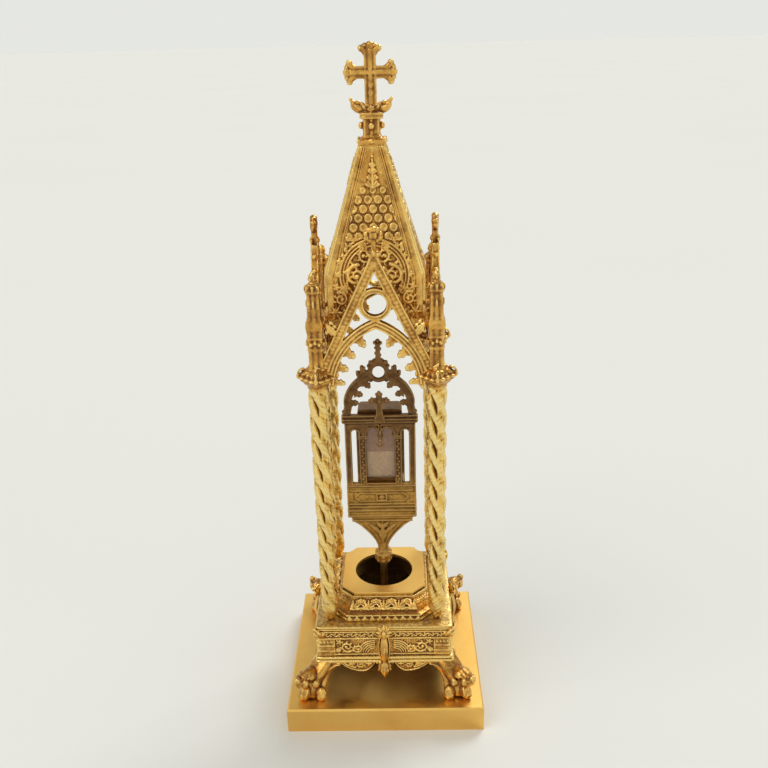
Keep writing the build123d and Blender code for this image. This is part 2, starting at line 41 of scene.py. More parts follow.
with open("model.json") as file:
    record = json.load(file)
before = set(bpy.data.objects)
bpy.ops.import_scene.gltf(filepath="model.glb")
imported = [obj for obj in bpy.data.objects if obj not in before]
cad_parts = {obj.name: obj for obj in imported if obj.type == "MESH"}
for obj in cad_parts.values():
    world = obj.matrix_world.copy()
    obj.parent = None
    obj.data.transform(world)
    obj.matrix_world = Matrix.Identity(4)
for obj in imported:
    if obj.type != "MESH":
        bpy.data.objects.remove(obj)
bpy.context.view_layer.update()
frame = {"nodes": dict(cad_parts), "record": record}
rng = np.random.default_rng(7)


# ---- Shapes: each is (vertices, faces) in millimetres ----------------------------------


def loft(rings, closed=False):
    """Skin a list of rings with the same number of points; open lofts get end caps."""
    rings = np.asarray(rings, float)
    count, sides = rings.shape[:2]
    spans = count if closed else count - 1
    row, col = np.meshgrid(np.arange(spans), np.arange(sides), indexing="ij")
    row_next, col_next = (row + 1) % count, (col + 1) % sides
    corners = (row * sides + col, row * sides + col_next, row_next * sides + col_next,
               row_next * sides + col)
    faces = [tuple(f) for f in np.stack(corners, -1).reshape(-1, 4).tolist()]
    if not closed:
        faces += [tuple(range(sides)), tuple(range((count - 1) * sides, count * sides))]
    return rings.reshape(-1, 3), faces


def section(sides, power):
    """A unit superellipse: power 1 is round, near 0 is square."""
    angle = np.arange(sides) * TAU / sides
    cos, sin = np.cos(angle), np.sin(angle)
    return np.sign(cos) * np.abs(cos) ** power, np.sign(sin) * np.abs(sin) ** power


def tube(points, wide, deep=None, normal=None, sides=10, power=1.0, closed=False):
    """Sweep a section along points. `deep` is its half size along `normal`, `wide` across it."""
    path = np.asarray(points, float)
    count = len(path)
    wide = np.broadcast_to(np.asarray(wide, float), (count,))
    deep = wide if deep is None else np.broadcast_to(np.asarray(deep, float), (count,))
    if closed:
        tangent = np.roll(path, -1, 0) - np.roll(path, 1, 0)
    else:
        tangent = np.gradient(path, axis=0)
    tangent /= np.linalg.norm(tangent, axis=1)[:, None]
    if normal is None:
        normal = ACROSS if abs(tangent[:, 1]).max() < 0.8 else UP
    high = normal - tangent * (tangent @ np.asarray(normal, float))[:, None]
    high /= np.linalg.norm(high, axis=1)[:, None]
    side = np.cross(high, tangent)
    cos, sin = section(sides, power)
    rings = (path[:, None] + side[:, None] * (wide[:, None] * cos)[:, :, None]
             + high[:, None] * (deep[:, None] * sin)[:, :, None])
    return loft(rings, closed)


def ball(centre, radii, sides=12, petals=0, groove=0.16):
    """An ellipsoid about Z; with petals, its side is grooved like a bud."""
    radii = np.broadcast_to(np.asarray(radii, float), (3,))
    angle = np.arange(sides * (2 if petals else 1)) * TAU / (sides * (2 if petals else 1))
    rings = []
    for latitude in np.linspace(-math.pi / 2, math.pi / 2, sides // 2 + 3)[1:-1]:
        reach = math.cos(latitude) * (1 - groove * np.abs(np.sin(petals * angle / 2)) ** 0.5
                                      if petals else np.ones_like(angle))
        rings.append(np.stack((reach * np.cos(angle), reach * np.sin(angle),
                               np.full_like(angle, math.sin(latitude))), -1))
    verts, faces = loft(rings)
    return verts * radii + np.asarray(centre, float), faces


def leaf(base, tip, width, up, bulge=1.0, thick=0.6, lobes=3, steps=14):
    """A leaf from base to tip that arches towards `up`, with a lobed edge and a midrib."""
    base, tip, up = (np.asarray(a, float) for a in (base, tip, up))
    t = np.linspace(0, 1, steps)[:, None]
    spine = base + (tip - base) * t + up * bulge * np.sin(math.pi * t)
    t = t[:, 0]
    edge = 1 - 0.24 * (0.5 + 0.5 * np.cos(TAU * lobes * t)) * (t < 0.93)
    wide = width * np.sin(math.pi * np.clip(t, 0.06, 0.96) ** 0.75) ** 0.8 * edge + 0.15
    blade = tube(spine, wide, thick * (1.1 - 0.6 * t), up, sides=12)
    rib = tube(spine + up * thick * 0.7, np.full(steps, 0.18 * width ** 0.5 + 0.1), None, up, 6)
    return join(blade, rib)


def join(*shapes):
    verts, faces, base = [], [], 0
    for shape in shapes:
        for v, f in ([shape] if isinstance(shape, tuple) else shape):
            verts.append(v)
            faces += [tuple(base + i for i in face) for face in f] if base else list(f)
            base += len(v)
    return np.vstack(verts), faces


def moved(shape, offset):
    return shape[0] + np.asarray(offset, float), shape[1]


def turned(shape, degrees):
    """Turn about the Z axis through the origin."""
    a = math.radians(degrees)
    turn = np.array(((math.cos(a), -math.sin(a), 0), (math.sin(a), math.cos(a), 0), (0, 0, 1)))
    return shape[0] @ turn.T, shape[1]


def mirrored(shape):
    return join(shape, (shape[0] * (-1, 1, 1), shape[1]))


def swapped(shape):
    """Mirror in the diagonal plane x = y and keep both."""
    return join(shape, (shape[0][:, (1, 0, 2)], shape[1]))


def all_round(shape, count=4):
    return join(*(turned(shape, 360 * i / count) for i in range(count)))


def square_stack(profile, power=0.08, sides=64, at=(0, 0), turn=0):
    """Loft of rounded squares; profile is (half width, z) pairs from the bottom up."""
    cos, sin = section(sides, power)
    rings = [np.stack((half * cos, half * sin, np.full(sides, z)), -1) for half, z in profile]
    verts, faces = turned(loft(rings), turn)
    return verts + (at[0], at[1], 0), faces


def box(x, y, z):
    low, high = (np.array([pair[i] for pair in (x, y, z)], float) for i in (0, 1))
    corners = [(a, b) for a, b in ((0, 0), (1, 0), (1, 1), (0, 1))]
    rings = [[(low[0] + a * (high[0] - low[0]), low[1] + b * (high[1] - low[1]), level)
              for a, b in corners] for level in (low[2], high[2])]
    return loft(rings)


def arc(centre, radius, start, end, steps=24, y=0.0):
    """Points of an arc in an XZ plane; angles in degrees from +X towards +Z."""
    a = np.radians(np.linspace(start, end, steps))
    r = np.broadcast_to(np.asarray(radius, float), a.shape)
    return np.stack((centre[0] + r * np.cos(a), np.full(steps, float(y)),
                     centre[1] + r * np.sin(a)), -1)


def ring(centre, radius, thick, y=0.0, deep=None):
    points = arc(centre, radius, 0, 360, 61, y)[:-1]
    return tube(points, thick, deep, ACROSS, sides=8, closed=True)


def line(a, b, steps=12):
    t = np.linspace(0, 1, steps)[:, None]
    return np.asarray(a, float) * (1 - t) + np.asarray(b, float) * t


def smooth_path(points, steps=40):
    """A Catmull-Rom curve through a few points."""
    p = np.asarray(points, float)
    p = np.vstack((2 * p[0] - p[1], p, 2 * p[-1] - p[-2]))
    u = np.linspace(0, len(p) - 3, steps)
    i = np.minimum(u.astype(int), len(p) - 4)
    t = (u - i)[:, None]
    a, b, c, d = p[i], p[i + 1], p[i + 2], p[i + 3]
    return 0.5 * (2 * b + (c - a) * t + (2 * a - 5 * b + 4 * c - d) * t ** 2
                  + (3 * b - a - 3 * c + d) * t ** 3)


# ---- Meshes and pieces -----------------------------------------------------------------


def mesh_object(name, shape):
    mesh = bpy.data.meshes.new(name)
    mesh.from_pydata((shape[0] * MM).tolist(), [], shape[1])
    mesh.update()
    obj = bpy.data.objects.new(name, mesh)
    bpy.context.scene.collection.objects.link(obj)
    return obj


def settle(obj):
    """Apply the modifiers for good and shade smooth."""
    graph = bpy.context.evaluated_depsgraph_get()
    mesh = bpy.data.meshes.new_from_object(obj.evaluated_get(graph))
    obj.modifiers.clear()
    obj.data = mesh
    mesh.shade_smooth()
    return weather(obj)


def weather(obj, rounds=36):
    """Store as "hollow" how far each point lies below its surroundings, in millimetres."""
    mesh = obj.data
    count = len(mesh.vertices)
    start = np.empty(count * 3)
    normal = np.empty(count * 3)
    ends = np.empty(len(mesh.edges) * 2, np.int32)
    mesh.vertices.foreach_get("co", start)
    mesh.vertices.foreach_get("normal", normal)
    mesh.edges.foreach_get("vertices", ends)
    start, normal, (a, b) = start.reshape(-1, 3) / MM, normal.reshape(-1, 3), ends.reshape(-1, 2).T
    near = np.maximum(np.bincount(a, minlength=count) + np.bincount(b, minlength=count), 1)
    flat, depth = start.copy(), np.zeros(count)
    for i in range(rounds):
        total = np.stack([np.bincount(a, flat[b, k], count) + np.bincount(b, flat[a, k], count)
                          for k in range(3)], -1)
        flat = 0.4 * flat + 0.6 * total / near[:, None]
        if i in (3, rounds - 1):
            depth += ((flat - start) * normal).sum(1) * (1.5 if i == 3 else 1.0)
    attribute = mesh.attributes.new("hollow", "FLOAT", "POINT")
    attribute.data.foreach_set("value", depth.astype(np.float32))
    return obj


def shift_darkness(obj, amount, above=0.0, keep=1.0):
    """Darken a piece over a height in millimetres as if it lay deeper there, or lighten it with a negative amount;
    keep scales its hollows.
    """
    mesh = obj.data
    data = mesh.attributes["hollow"].data
    depth, place = np.empty(len(data), np.float32), np.empty(3 * len(data))
    data.foreach_get("value", depth)
    mesh.vertices.foreach_get("co", place)
    depth = keep * depth + amount * np.clip((place[2::3] / MM - above) / 4.0, 0, 1)
    data.foreach_set("value", depth.astype(np.float32))
    return obj


def cast(name, shape, voxel=0.34, passes=1, wear=0.10, wear_size=2.2):
    """Melt overlapping forms into one skin, slightly uneven and rounded, like worn casting."""
    obj = mesh_object(name, shape)
    remesh = obj.modifiers.new("melt", "REMESH")
    remesh.mode = "VOXEL"
    remesh.voxel_size = voxel * MM
    if wear:
        texture = bpy.data.textures.new(name, "CLOUDS")
        texture.noise_scale = wear_size * MM
        uneven = obj.modifiers.new("uneven", "DISPLACE")
        uneven.texture = texture
        uneven.texture_coords = "LOCAL"
        uneven.strength = wear * MM
    if passes:
        soften = obj.modifiers.new("soften", "SMOOTH")
        soften.factor = 0.5
        soften.iterations = passes
    return settle(obj)


def plain(name, shape, bevel=0.0):
    """A mesh kept as modelled, with its normals made consistent."""
    obj = mesh_object(name, shape)
    tidy_faces(obj)
    if bevel:
        edge = obj.modifiers.new("edge", "BEVEL")
        edge.width = bevel * MM
        edge.segments = 2
        edge.limit_method = "ANGLE"
    settle(obj)
    return obj


def tidy_faces(obj):
    """Weld touching edges and make the faces agree on which side is out."""
    bm = bmesh.new()
    bm.from_mesh(obj.data)
    bmesh.ops.remove_doubles(bm, verts=bm.verts, dist=0.02 * MM)
    bmesh.ops.recalc_face_normals(bm, faces=bm.faces)
    bm.to_mesh(obj.data)
    bm.free()


def paint_inner_shade(obj, half):
    """Give the faces nearer the middle than `half` the near-black inner material, painted shade for the hollow
    inside.
    """
    obj.data.materials.append(MATERIALS["gilt_casting"])
    obj.data.materials.append(MATERIALS["inner_dark"])
    for face in obj.data.polygons:
        x, y, z = face.center / MM
        face.material_index = int(max(abs(x), abs(y)) < half and math.hypot(x, y) < half * 1.42)


def piece(obj, body, slot, *nodes):
    if not obj.data.materials:
        obj.data.materials.append(MATERIALS[slot])
    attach(obj, body)
    if nodes:
        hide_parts(*nodes)
    return obj


def four(obj, stem, places, slot, node=None):
    """The piece for the first place and three turned copies of it."""
    for place, angle in places.items():
        if angle:
            copy = bpy.data.objects.new(f"{stem}_{place}_detail", obj.data.copy())
            copy.data.transform(Matrix.Rotation(math.radians(angle), 4, "Z"))
            bpy.context.scene.collection.objects.link(copy)
        else:
            copy = obj
            copy.name = f"{stem}_{place}_detail"
        piece(copy, "stand", slot, node or f"{stem}_{place}")


# ---- Relief faces ----------------------------------------------------------------------


class Relief:
    """Heights in millimetres over the points (u, v) of a face."""

    def __init__(self, u, v):
        self.u, self.v = u, v
        self.h = np.zeros_like(u)

    def raise_to(self, height):
        self.h = np.maximum(self.h, height)

    def stroke(self, points, radius, height):
        """A rounded ridge along points whose half width and height may vary."""
        points = np.asarray(points, float)
        radius = np.broadcast_to(np.asarray(radius, float), (len(points),))
        height = np.broadcast_to(np.asarray(height, float), (len(points),))
        for (pu, pv), r, tall in zip(points, radius, height):
            near = (np.abs(self.u - pu) < r) & (np.abs(self.v - pv) < r)
            d2 = ((self.u[near] - pu) ** 2 + (self.v[near] - pv) ** 2) / (r * r)
            self.h[near] = np.maximum(self.h[near], tall * np.sqrt(np.clip(1 - d2, 0, 1)))

    def circle(self, centre, radius, thick, height, where=True):
        d = np.hypot(self.u - centre[0], self.v - centre[1]) - radius
        bump = height * np.sqrt(np.clip(1 - (d / thick) ** 2, 0, 1))
        self.raise_to(np.where(where, bump, 0))

    def petals(self, centre, count, length, wide, tall, start=0.0, spread=360.0):
        """A fan or rosette of petals round a boss."""
        for k in range(count):
            a = math.radians(start + spread * (k / max(count - 1, 1) if spread < 360 else k / count))
            t = np.linspace(0.15, 1, 9)
            points = np.stack((centre[0] + length * t * math.cos(a),
                               centre[1] + length * t * math.sin(a)), -1)
            self.stroke(points, wide * np.sin(math.pi * np.clip(t, 0.2, 0.85)) + 0.1, tall)
        self.stroke([centre], wide * 0.9, tall * 1.25)

    def scroll(self, centre, big, small, start, turns, thick, tall, hand=1):
        """A spiral ridge that runs inwards and ends in a boss, with leaflets on its outside."""
        t = np.linspace(0, 1, int(70 * turns) + 20)
        a = math.radians(start) + hand * TAU * turns * t
        r = big + (small - big) * t ** 0.8
        points = np.stack((centre[0] + r * np.cos(a), centre[1] + r * np.sin(a)), -1)
        self.stroke(points, thick * (1 - 0.35 * t), tall)
        self.stroke([points[-1]], thick * 1.5, tall * 1.3)
        for i in range(4, len(t) - 25, 11):
            out = (points[i] - centre) / r[i]
            run = np.array((-out[1], out[0])) * hand
            sprig = [points[i] + (out * 0.9 + run * 0.6) * thick * s for s in (0.6, 1.2, 1.8)]
            self.stroke(sprig, (thick * 0.75, thick * 0.65, thick * 0.4), tall * 0.8)


def grid_shape(points):
    """Faces over a rows x columns array of points."""
    rows, cols = points.shape[:2]
    row, col = np.meshgrid(np.arange(rows - 1), np.arange(cols - 1), indexing="ij")
    first = row * cols + col
    faces = np.stack((first, first + 1, first + cols + 1, first + cols), -1).reshape(-1, 4)
    return points.reshape(-1, 3), [tuple(f) for f in faces.tolist()]


def spatter(u, v, size, amount):
    """Fine uneven ground, the same every run."""
    total = np.zeros_like(u)
    for k in range(6):
        a, phase = rng.uniform(0, TAU, 2)
        f = TAU / (size * rng.uniform(0.7, 1.5))
        total += np.sin(f * (u * math.cos(a) + v * math.sin(a)) + phase)
    return amount * total / 3.0


# ---- Materials -------------------------------------------------------------------------


class Graph:
    """Small helper to wire a material's nodes."""

    def __init__(self, name):
        self.material = bpy.data.materials.new(name)
        self.material.use_nodes = True
        self.tree = self.material.node_tree
        self.shader = self.tree.nodes["Principled BSDF"]
        self.place = self.new("ShaderNodeTexCoord").outputs["Object"]

    def new(self, kind, **settings):
        node = self.tree.nodes.new(kind)
        for key, value in settings.items():
            setattr(node, key, value)
        return node

    def put(self, socket, value):
        if isinstance(value, bpy.types.NodeSocket):
            self.tree.links.new(value, socket)
        elif isinstance(value, tuple):
            socket.default_value = value + (1.0,) if len(value) == 3 and socket.type == "RGBA" else value
        else:
            socket.default_value = value

    def math(self, operation, a, b=0.0, clamp=False):
        node = self.new("ShaderNodeMath", operation=operation, use_clamp=clamp)
        self.put(node.inputs[0], a)
        self.put(node.inputs[1], b)
        return node.outputs[0]

    def mix(self, factor, a, b, blend="MIX"):
        node = self.new("ShaderNodeMix", data_type="RGBA", blend_type=blend)
        self.put(node.inputs[0], factor)
        self.put(node.inputs[6], a)
        self.put(node.inputs[7], b)
        return node.outputs[2]

    def remap(self, value, low, high, to_low=0.0, to_high=1.0):
        node = self.new("ShaderNodeMapRange")
        for socket, item in zip(node.inputs, (value, low, high, to_low, to_high)):
            self.put(socket, item)
        return node.outputs[0]

    def noise(self, size, detail=3.0, rough=0.55, stretch=(1, 1, 1), distort=0.0):
        """Noise whose features are about `size` millimetres across."""
        mapping = self.new("ShaderNodeMapping")
        self.put(mapping.inputs["Vector"], self.place)
        mapping.inputs["Scale"].default_value = stretch
        node = self.new("ShaderNodeTexNoise")
        self.put(node.inputs["Vector"], mapping.outputs[0])
        self.put(node.inputs["Scale"], 1000.0 / size)
        self.put(node.inputs["Detail"], detail)
        self.put(node.inputs["Roughness"], rough)
        self.put(node.inputs["Distortion"], distort)
        return node.outputs["Fac"]

    def hollow(self, reach):
        """Ambient occlusion turned round, used as painted shade: 1 deep in a hollow, 0 in the open; reach in
        millimetres.
        """
        node = self.new("ShaderNodeAmbientOcclusion", samples=8, only_local=True)
        self.put(node.inputs["Distance"], reach * MM)
        return self.math("SUBTRACT", 1.0, node.outputs["AO"])

    def edge(self):
        return self.new("ShaderNodeNewGeometry").outputs["Pointiness"]

    def bump(self, layers):
        """Stack of (height, distance in millimetres) layers."""
        normal = None
        for height, distance in layers:
            node = self.new("ShaderNodeBump")
            self.put(node.inputs["Distance"], distance * MM)
            self.put(node.inputs["Height"], height)
            if normal is not None:
                self.put(node.inputs["Normal"], normal)
            normal = node.outputs[0]
        self.put(self.shader.inputs["Normal"], normal)


def metal(name, light, deep, patina, bright, rough=(0.25, 0.4), reach=1.6, grime_and_shade=1.0,
          grain=0.35, grain_depth=0.05, blotch=9.0, mottle=0.5, lines=None, low=None,
          flat_top_dark=0.0, stain=None):
    """Gilt or bronze: blotchy colour, dark patina and painted shade in the hollows, rubbed bright edges."""
    g = Graph(name)
    blotches = g.remap(g.noise(blotch, 4.0, 0.6, distort=0.4), 0.35, 0.68)
    colour = g.mix(blotches, light, deep)
    if low:
        height = g.new("ShaderNodeSeparateXYZ")
        g.put(height.inputs[0], g.place)
        upper = g.remap(height.outputs["Z"], 0.122, 0.134)
        colour = g.mix(upper, g.mix(blotches, *low), colour)
    stains = g.noise(blotch * 0.3, 5.0, 0.7)
    fine = g.noise(grain, 3.0, 0.6)
    depth = g.new("ShaderNodeAttribute", attribute_name="hollow").outputs["Fac"]
    dark = g.math("ADD", depth, g.remap(stains, 0.3, 0.7, -0.05, 0.07))
    dark = g.remap(dark, 0.07 / grime_and_shade, 0.07 / grime_and_shade + 0.30, 0.0, 0.95)
    # shade: ambient occlusion put into the colour, painted shade in the recesses on top of the patina
    shade = g.remap(g.hollow(reach), 0.34, 0.85, 0.0, 0.9 * min(grime_and_shade, 1.0))
    dark = g.math("MAXIMUM", dark, shade)
    cloud = g.remap(g.noise(blotch * 1.6, 5.0, 0.68, distort=0.6), 0.46, 0.62, 0.0, mottle)
    speckle = g.remap(g.noise(grain * 3.0, 3.0, 0.7), 0.40, 0.62, 0.35, 1.0)
    colour = g.mix(g.math("MULTIPLY", cloud, speckle), colour, stain or patina)
    if stain:
        colour = g.mix(g.math("MULTIPLY", cloud, 0.36), colour, stain)
    # darkens blotchy patches on faces that point up
    if flat_top_dark:
        tilt = g.new("ShaderNodeSeparateXYZ")
        g.put(tilt.inputs[0], g.new("ShaderNodeNewGeometry").outputs["Normal"])
        flat = g.remap(tilt.outputs["Z"], 0.88, 0.99, 0.0, flat_top_dark)
        dark = g.math("ADD", dark, g.math("MULTIPLY", flat, g.remap(stains, 0.3, 0.6)), clamp=True)
    rubbed = g.remap(depth, -0.05, -0.42, 0.0, 0.85)
    colour = g.mix(rubbed, colour, bright)
    colour = g.mix(dark, colour, patina)
    level = g.remap(g.noise(blotch * 0.5, 4.0, 0.65), 0.3, 0.7, rough[0], rough[1])
    level = g.math("ADD", level, g.math("MULTIPLY", dark, 0.22), clamp=True)
    level = g.math("ADD", level, g.remap(fine, 0.3, 0.7, -0.04, 0.06), clamp=True)
    g.put(g.shader.inputs["Base Color"], colour)
    g.put(g.shader.inputs["Roughness"], level)
    g.put(g.shader.inputs["Metallic"], g.remap(dark, 0.0, 1.0, 1.0, 0.7))
    layers = [(g.noise(grain * 5, 3.0), grain_depth * 2.4), (fine, grain_depth)]
    if lines:
        layers.append((g.noise(lines[0], 2.0, 0.5, stretch=lines[1]), lines[2]))
    g.bump(layers)
    return g.material


def glass_material():
    g = Graph("old_glass")
    g.put(g.shader.inputs["Base Color"], (0.97, 0.98, 0.97))
    g.put(g.shader.inputs["Transmission Weight"], 1.0)
    g.put(g.shader.inputs["IOR"], 1.34)
    g.put(g.shader.inputs["Roughness"], g.remap(g.noise(6.0, 4.0), 0.5, 0.75, 0.0, 0.08))
    g.bump([(g.noise(14.0, 1.0), 0.04)])
    return g.material


def cloth_material():
    """Faded silk: two crossing threads, with worn and stained patches."""
    g = Graph("relic_silk")
    warp = g.new("ShaderNodeTexWave", bands_direction="X")
    weft = g.new("ShaderNodeTexWave", bands_direction="Z")
    for node in (warp, weft):
        g.put(node.inputs["Vector"], g.place)
        g.put(node.inputs["Scale"], 900.0)
        g.put(node.inputs["Distortion"], 1.2)
    weave = g.math("MULTIPLY", warp.outputs["Fac"], weft.outputs["Fac"])
    stain = g.remap(g.noise(5.0, 5.0, 0.7), 0.35, 0.65)
    colour = g.mix(stain, (0.80, 0.44, 0.27), (0.56, 0.27, 0.15))
    colour = g.mix(g.math("MULTIPLY", weave, 0.35), colour, (0.74, 0.48, 0.34))
    g.put(g.shader.inputs["Base Color"], colour)
    g.put(g.shader.inputs["Roughness"], g.remap(weave, 0, 1, 0.75, 0.5))
    g.put(g.shader.inputs["Sheen Weight"], 0.3)
    g.bump([(weave, 0.06), (g.noise(2.0, 4.0), 0.2)])
    return g.material


def paper_material():
    """Aged paper: foxed, with browner patches and fine fibres."""
    g = Graph("relic_label_paper")
    stain = g.remap(g.noise(4.0, 6.0, 0.75, distort=0.5), 0.36, 0.66)
    colour = g.mix(stain, (0.97, 0.66, 0.40), (0.80, 0.48, 0.27))
    spots = g.remap(g.noise(1.1, 3.0, 0.8), 0.56, 0.70, 0.0, 0.7)
    colour = g.mix(spots, colour, (0.34, 0.17, 0.10))
    g.put(g.shader.inputs["Base Color"], colour)
    g.put(g.shader.inputs["Roughness"], g.remap(g.noise(0.5), 0.3, 0.7, 0.62, 0.85))
    g.bump([(g.noise(0.35, 4.0, stretch=(0.4, 1, 1)), 0.04), (g.noise(5.0), 0.25)])
    return g.material


MATERIALS = {
    "polished_brass": metal(
        "satin_brass", (0.90, 0.57, 0.165), (0.83, 0.49, 0.125), (0.42, 0.22, 0.06),
        (0.95, 0.72, 0.32), rough=(0.30, 0.42), reach=1.0, grime_and_shade=0.6, grain=0.5,
        grain_depth=0.010, blotch=30.0, mottle=0.0, lines=(0.5, (0.06, 1.0, 1.0), 0.014)),
    "gilt_casting": metal(
        "antique_gilt", (0.84, 0.49, 0.120), (0.60, 0.285, 0.055), (0.17, 0.060, 0.015),
        (0.97, 0.70, 0.24), rough=(0.17, 0.34), reach=2.0, grime_and_shade=1.15, grain=0.4,
        grain_depth=0.07, blotch=7.0, mottle=0.9, flat_top_dark=0.8,
        stain=(0.30, 0.115, 0.024)),
    "column_gilding": metal(
        "rough_gilding", (0.91, 0.61, 0.155), (0.78, 0.43, 0.085), (0.10, 0.036, 0.010),
        (0.97, 0.76, 0.32), rough=(0.20, 0.38), reach=1.6, grime_and_shade=1.1, grain=0.55,
        grain_depth=0.16, blotch=8.0, mottle=0.45),
    "dark_bronze": metal(
        "dark_bronze", (0.26, 0.138, 0.052), (0.16, 0.080, 0.034), (0.040, 0.018, 0.009),
        (0.52, 0.33, 0.13), rough=(0.34, 0.50), reach=1.2, grime_and_shade=0.8, grain=0.3,
        grain_depth=0.045, blotch=6.0, mottle=0.45, low=((0.62, 0.36, 0.085), (0.44, 0.235, 0.05))),
    "inner_brass": metal(
        "inner_brass", (0.34, 0.20, 0.065), (0.20, 0.11, 0.035), (0.04, 0.02, 0.009),
        (0.55, 0.36, 0.13), rough=(0.35, 0.5), reach=1.4, grime_and_shade=1.1, grain=0.4,
        grain_depth=0.03, blotch=8.0),
    # painted shade: a near-black metal for inner faces that lie in the pedestal's shaded inside
    "inner_dark": metal(
        "inner_painted_shade", (0.050, 0.028, 0.014), (0.028, 0.015, 0.008), (0.010, 0.006, 0.004),
        (0.08, 0.05, 0.025), rough=(0.5, 0.7), reach=2.0, grime_and_shade=1.2, grain=0.6,
        grain_depth=0.06, blotch=10.0),
    "glass": glass_material(),
    "relic_cloth": cloth_material(),
    "relic_paper": paper_material(),
}

for part in frame["record"]["subparts"]:
    mesh = frame["nodes"][part["node"]].data
    mesh.materials.clear()
    mesh.materials.append(MATERIALS[part["material_slot"]])


# ---- Columns, capitals, pinnacles ------------------------------------------------------

COLUMN_AT = 29.3
COLUMN_FOOT, COLUMN_HEAD = 57.2, 195.6


def make_column():
    """A twisted bar of four soft strands with rows of deep lens-shaped hollows; smooth foot."""
    lead, around, rows = 49.0, 96, 330
    z = np.linspace(COLUMN_FOOT, COLUMN_HEAD, rows)[:, None]
    angle = (np.arange(around) * TAU / around)[None]
    t = (z - COLUMN_FOOT) / (COLUMN_HEAD - COLUMN_FOOT)
    groove = 0.5 + 0.5 * np.cos(4 * (angle + TAU * z / lead))
    fade = np.clip((z - 60.0) / 26.0, 0, 1) * np.clip((COLUMN_HEAD + 3 - z) / 6.0, 0, 1)
    window = np.clip(np.cos(4 * (angle + math.radians(110))) + 0.12, 0, 1) ** 0.6
    radius = (4.7 + 0.55 * t) * np.clip((z - COLUMN_FOOT + 0.8) / 9.0, 0.02, 1) ** 0.42
    radius = radius - 0.75 * groove ** 1.4 * (0.3 + 0.7 * fade)
    radius = radius - 2.05 * groove ** 2.2 * window * np.clip((z - 72.0) / 26.0, 0, 1) ** 0.7
    u, v = 4.8 * np.cos(angle) + 0.3 * z, z + 4.0 * np.sin(angle)
    radius = radius + spatter(u, v, 1.5, 0.075) + spatter(u, v, 4.2, 0.13)
    height = z + 0 * angle
    rings = np.stack((radius * np.cos(angle), radius * np.sin(angle), height), -1)
    return plain("column", moved(loft(rings), (-COLUMN_AT, -COLUMN_AT, 0)))


def diamond_ring(tip, z, sides=48, power=0.55):
    """A square standing on its corner, its tips along X and Y, sides a little hollow."""
    cos, sin = section(sides, 1.0)
    reach = tip / (np.abs(cos) ** (1 / power) + np.abs(sin) ** (1 / power)) ** power
    return np.stack((reach * cos, reach * sin, np.full(sides, z)), -1)


def make_capital():
    """Flat diamond abacus with eggs along its edge and petals above, on a short collar."""
    parts = [loft([diamond_ring(r, z, power=p) for r, z, p in (
        (4.6, 194.6, 0.5), (5.2, 195.2, 0.5), (5.2, 196.4, 0.5), (5.6, 197.4, 0.55), (7.8, 198.7, 0.82),
        (9.2, 199.7, 0.95), (9.7, 200.6, 1.0), (9.7, 202.0, 1.0), (9.1, 203.0, 1.0), (5.6, 205.6, 0.8),
        (4.6, 206.6, 0.8))])]
    parts.append(tube(diamond_ring(8.3, 199.2, 64, 0.95), 0.5, None, UP, 8, closed=True))
    for side in range(4):
        for t in (0.22, 0.5, 0.78):
            out = np.array((math.cos(side * TAU / 4) * (1 - t) - math.sin(side * TAU / 4) * t,
                            math.sin(side * TAU / 4) * (1 - t) + math.cos(side * TAU / 4) * t, 0))
            parts.append(ball(out * 9.1 + UP * 201.3, (2.2, 2.2, 1.1), 12, petals=4, groove=0.04))
            parts.append(leaf(out * 5.6 + UP * 204.7, out * 9.7 + UP * 202.5, 2.1, (0, 0, 1), 0.3, 0.7, 2, 10))
        knot = join(ball((9.5, 0, 201.6), (1.2, 1.2, 1.7), 10, petals=5),
                    leaf((6.4, 0, 205.2), (10.0, 0, 203.0), 1.3, (0, 0, 1), 0.9, 0.7, 0, 8),
                    leaf((5.2, 0, 197.0), (7.6, 0, 199.6), 1.6, (0.5, 0, -0.6), 0.4, 0.5))
        parts.append(turned(knot, side * 90))
    return cast("capital", moved(join(*parts), (-COLUMN_AT, -COLUMN_AT, 0)), 0.30, 1, 0.10)


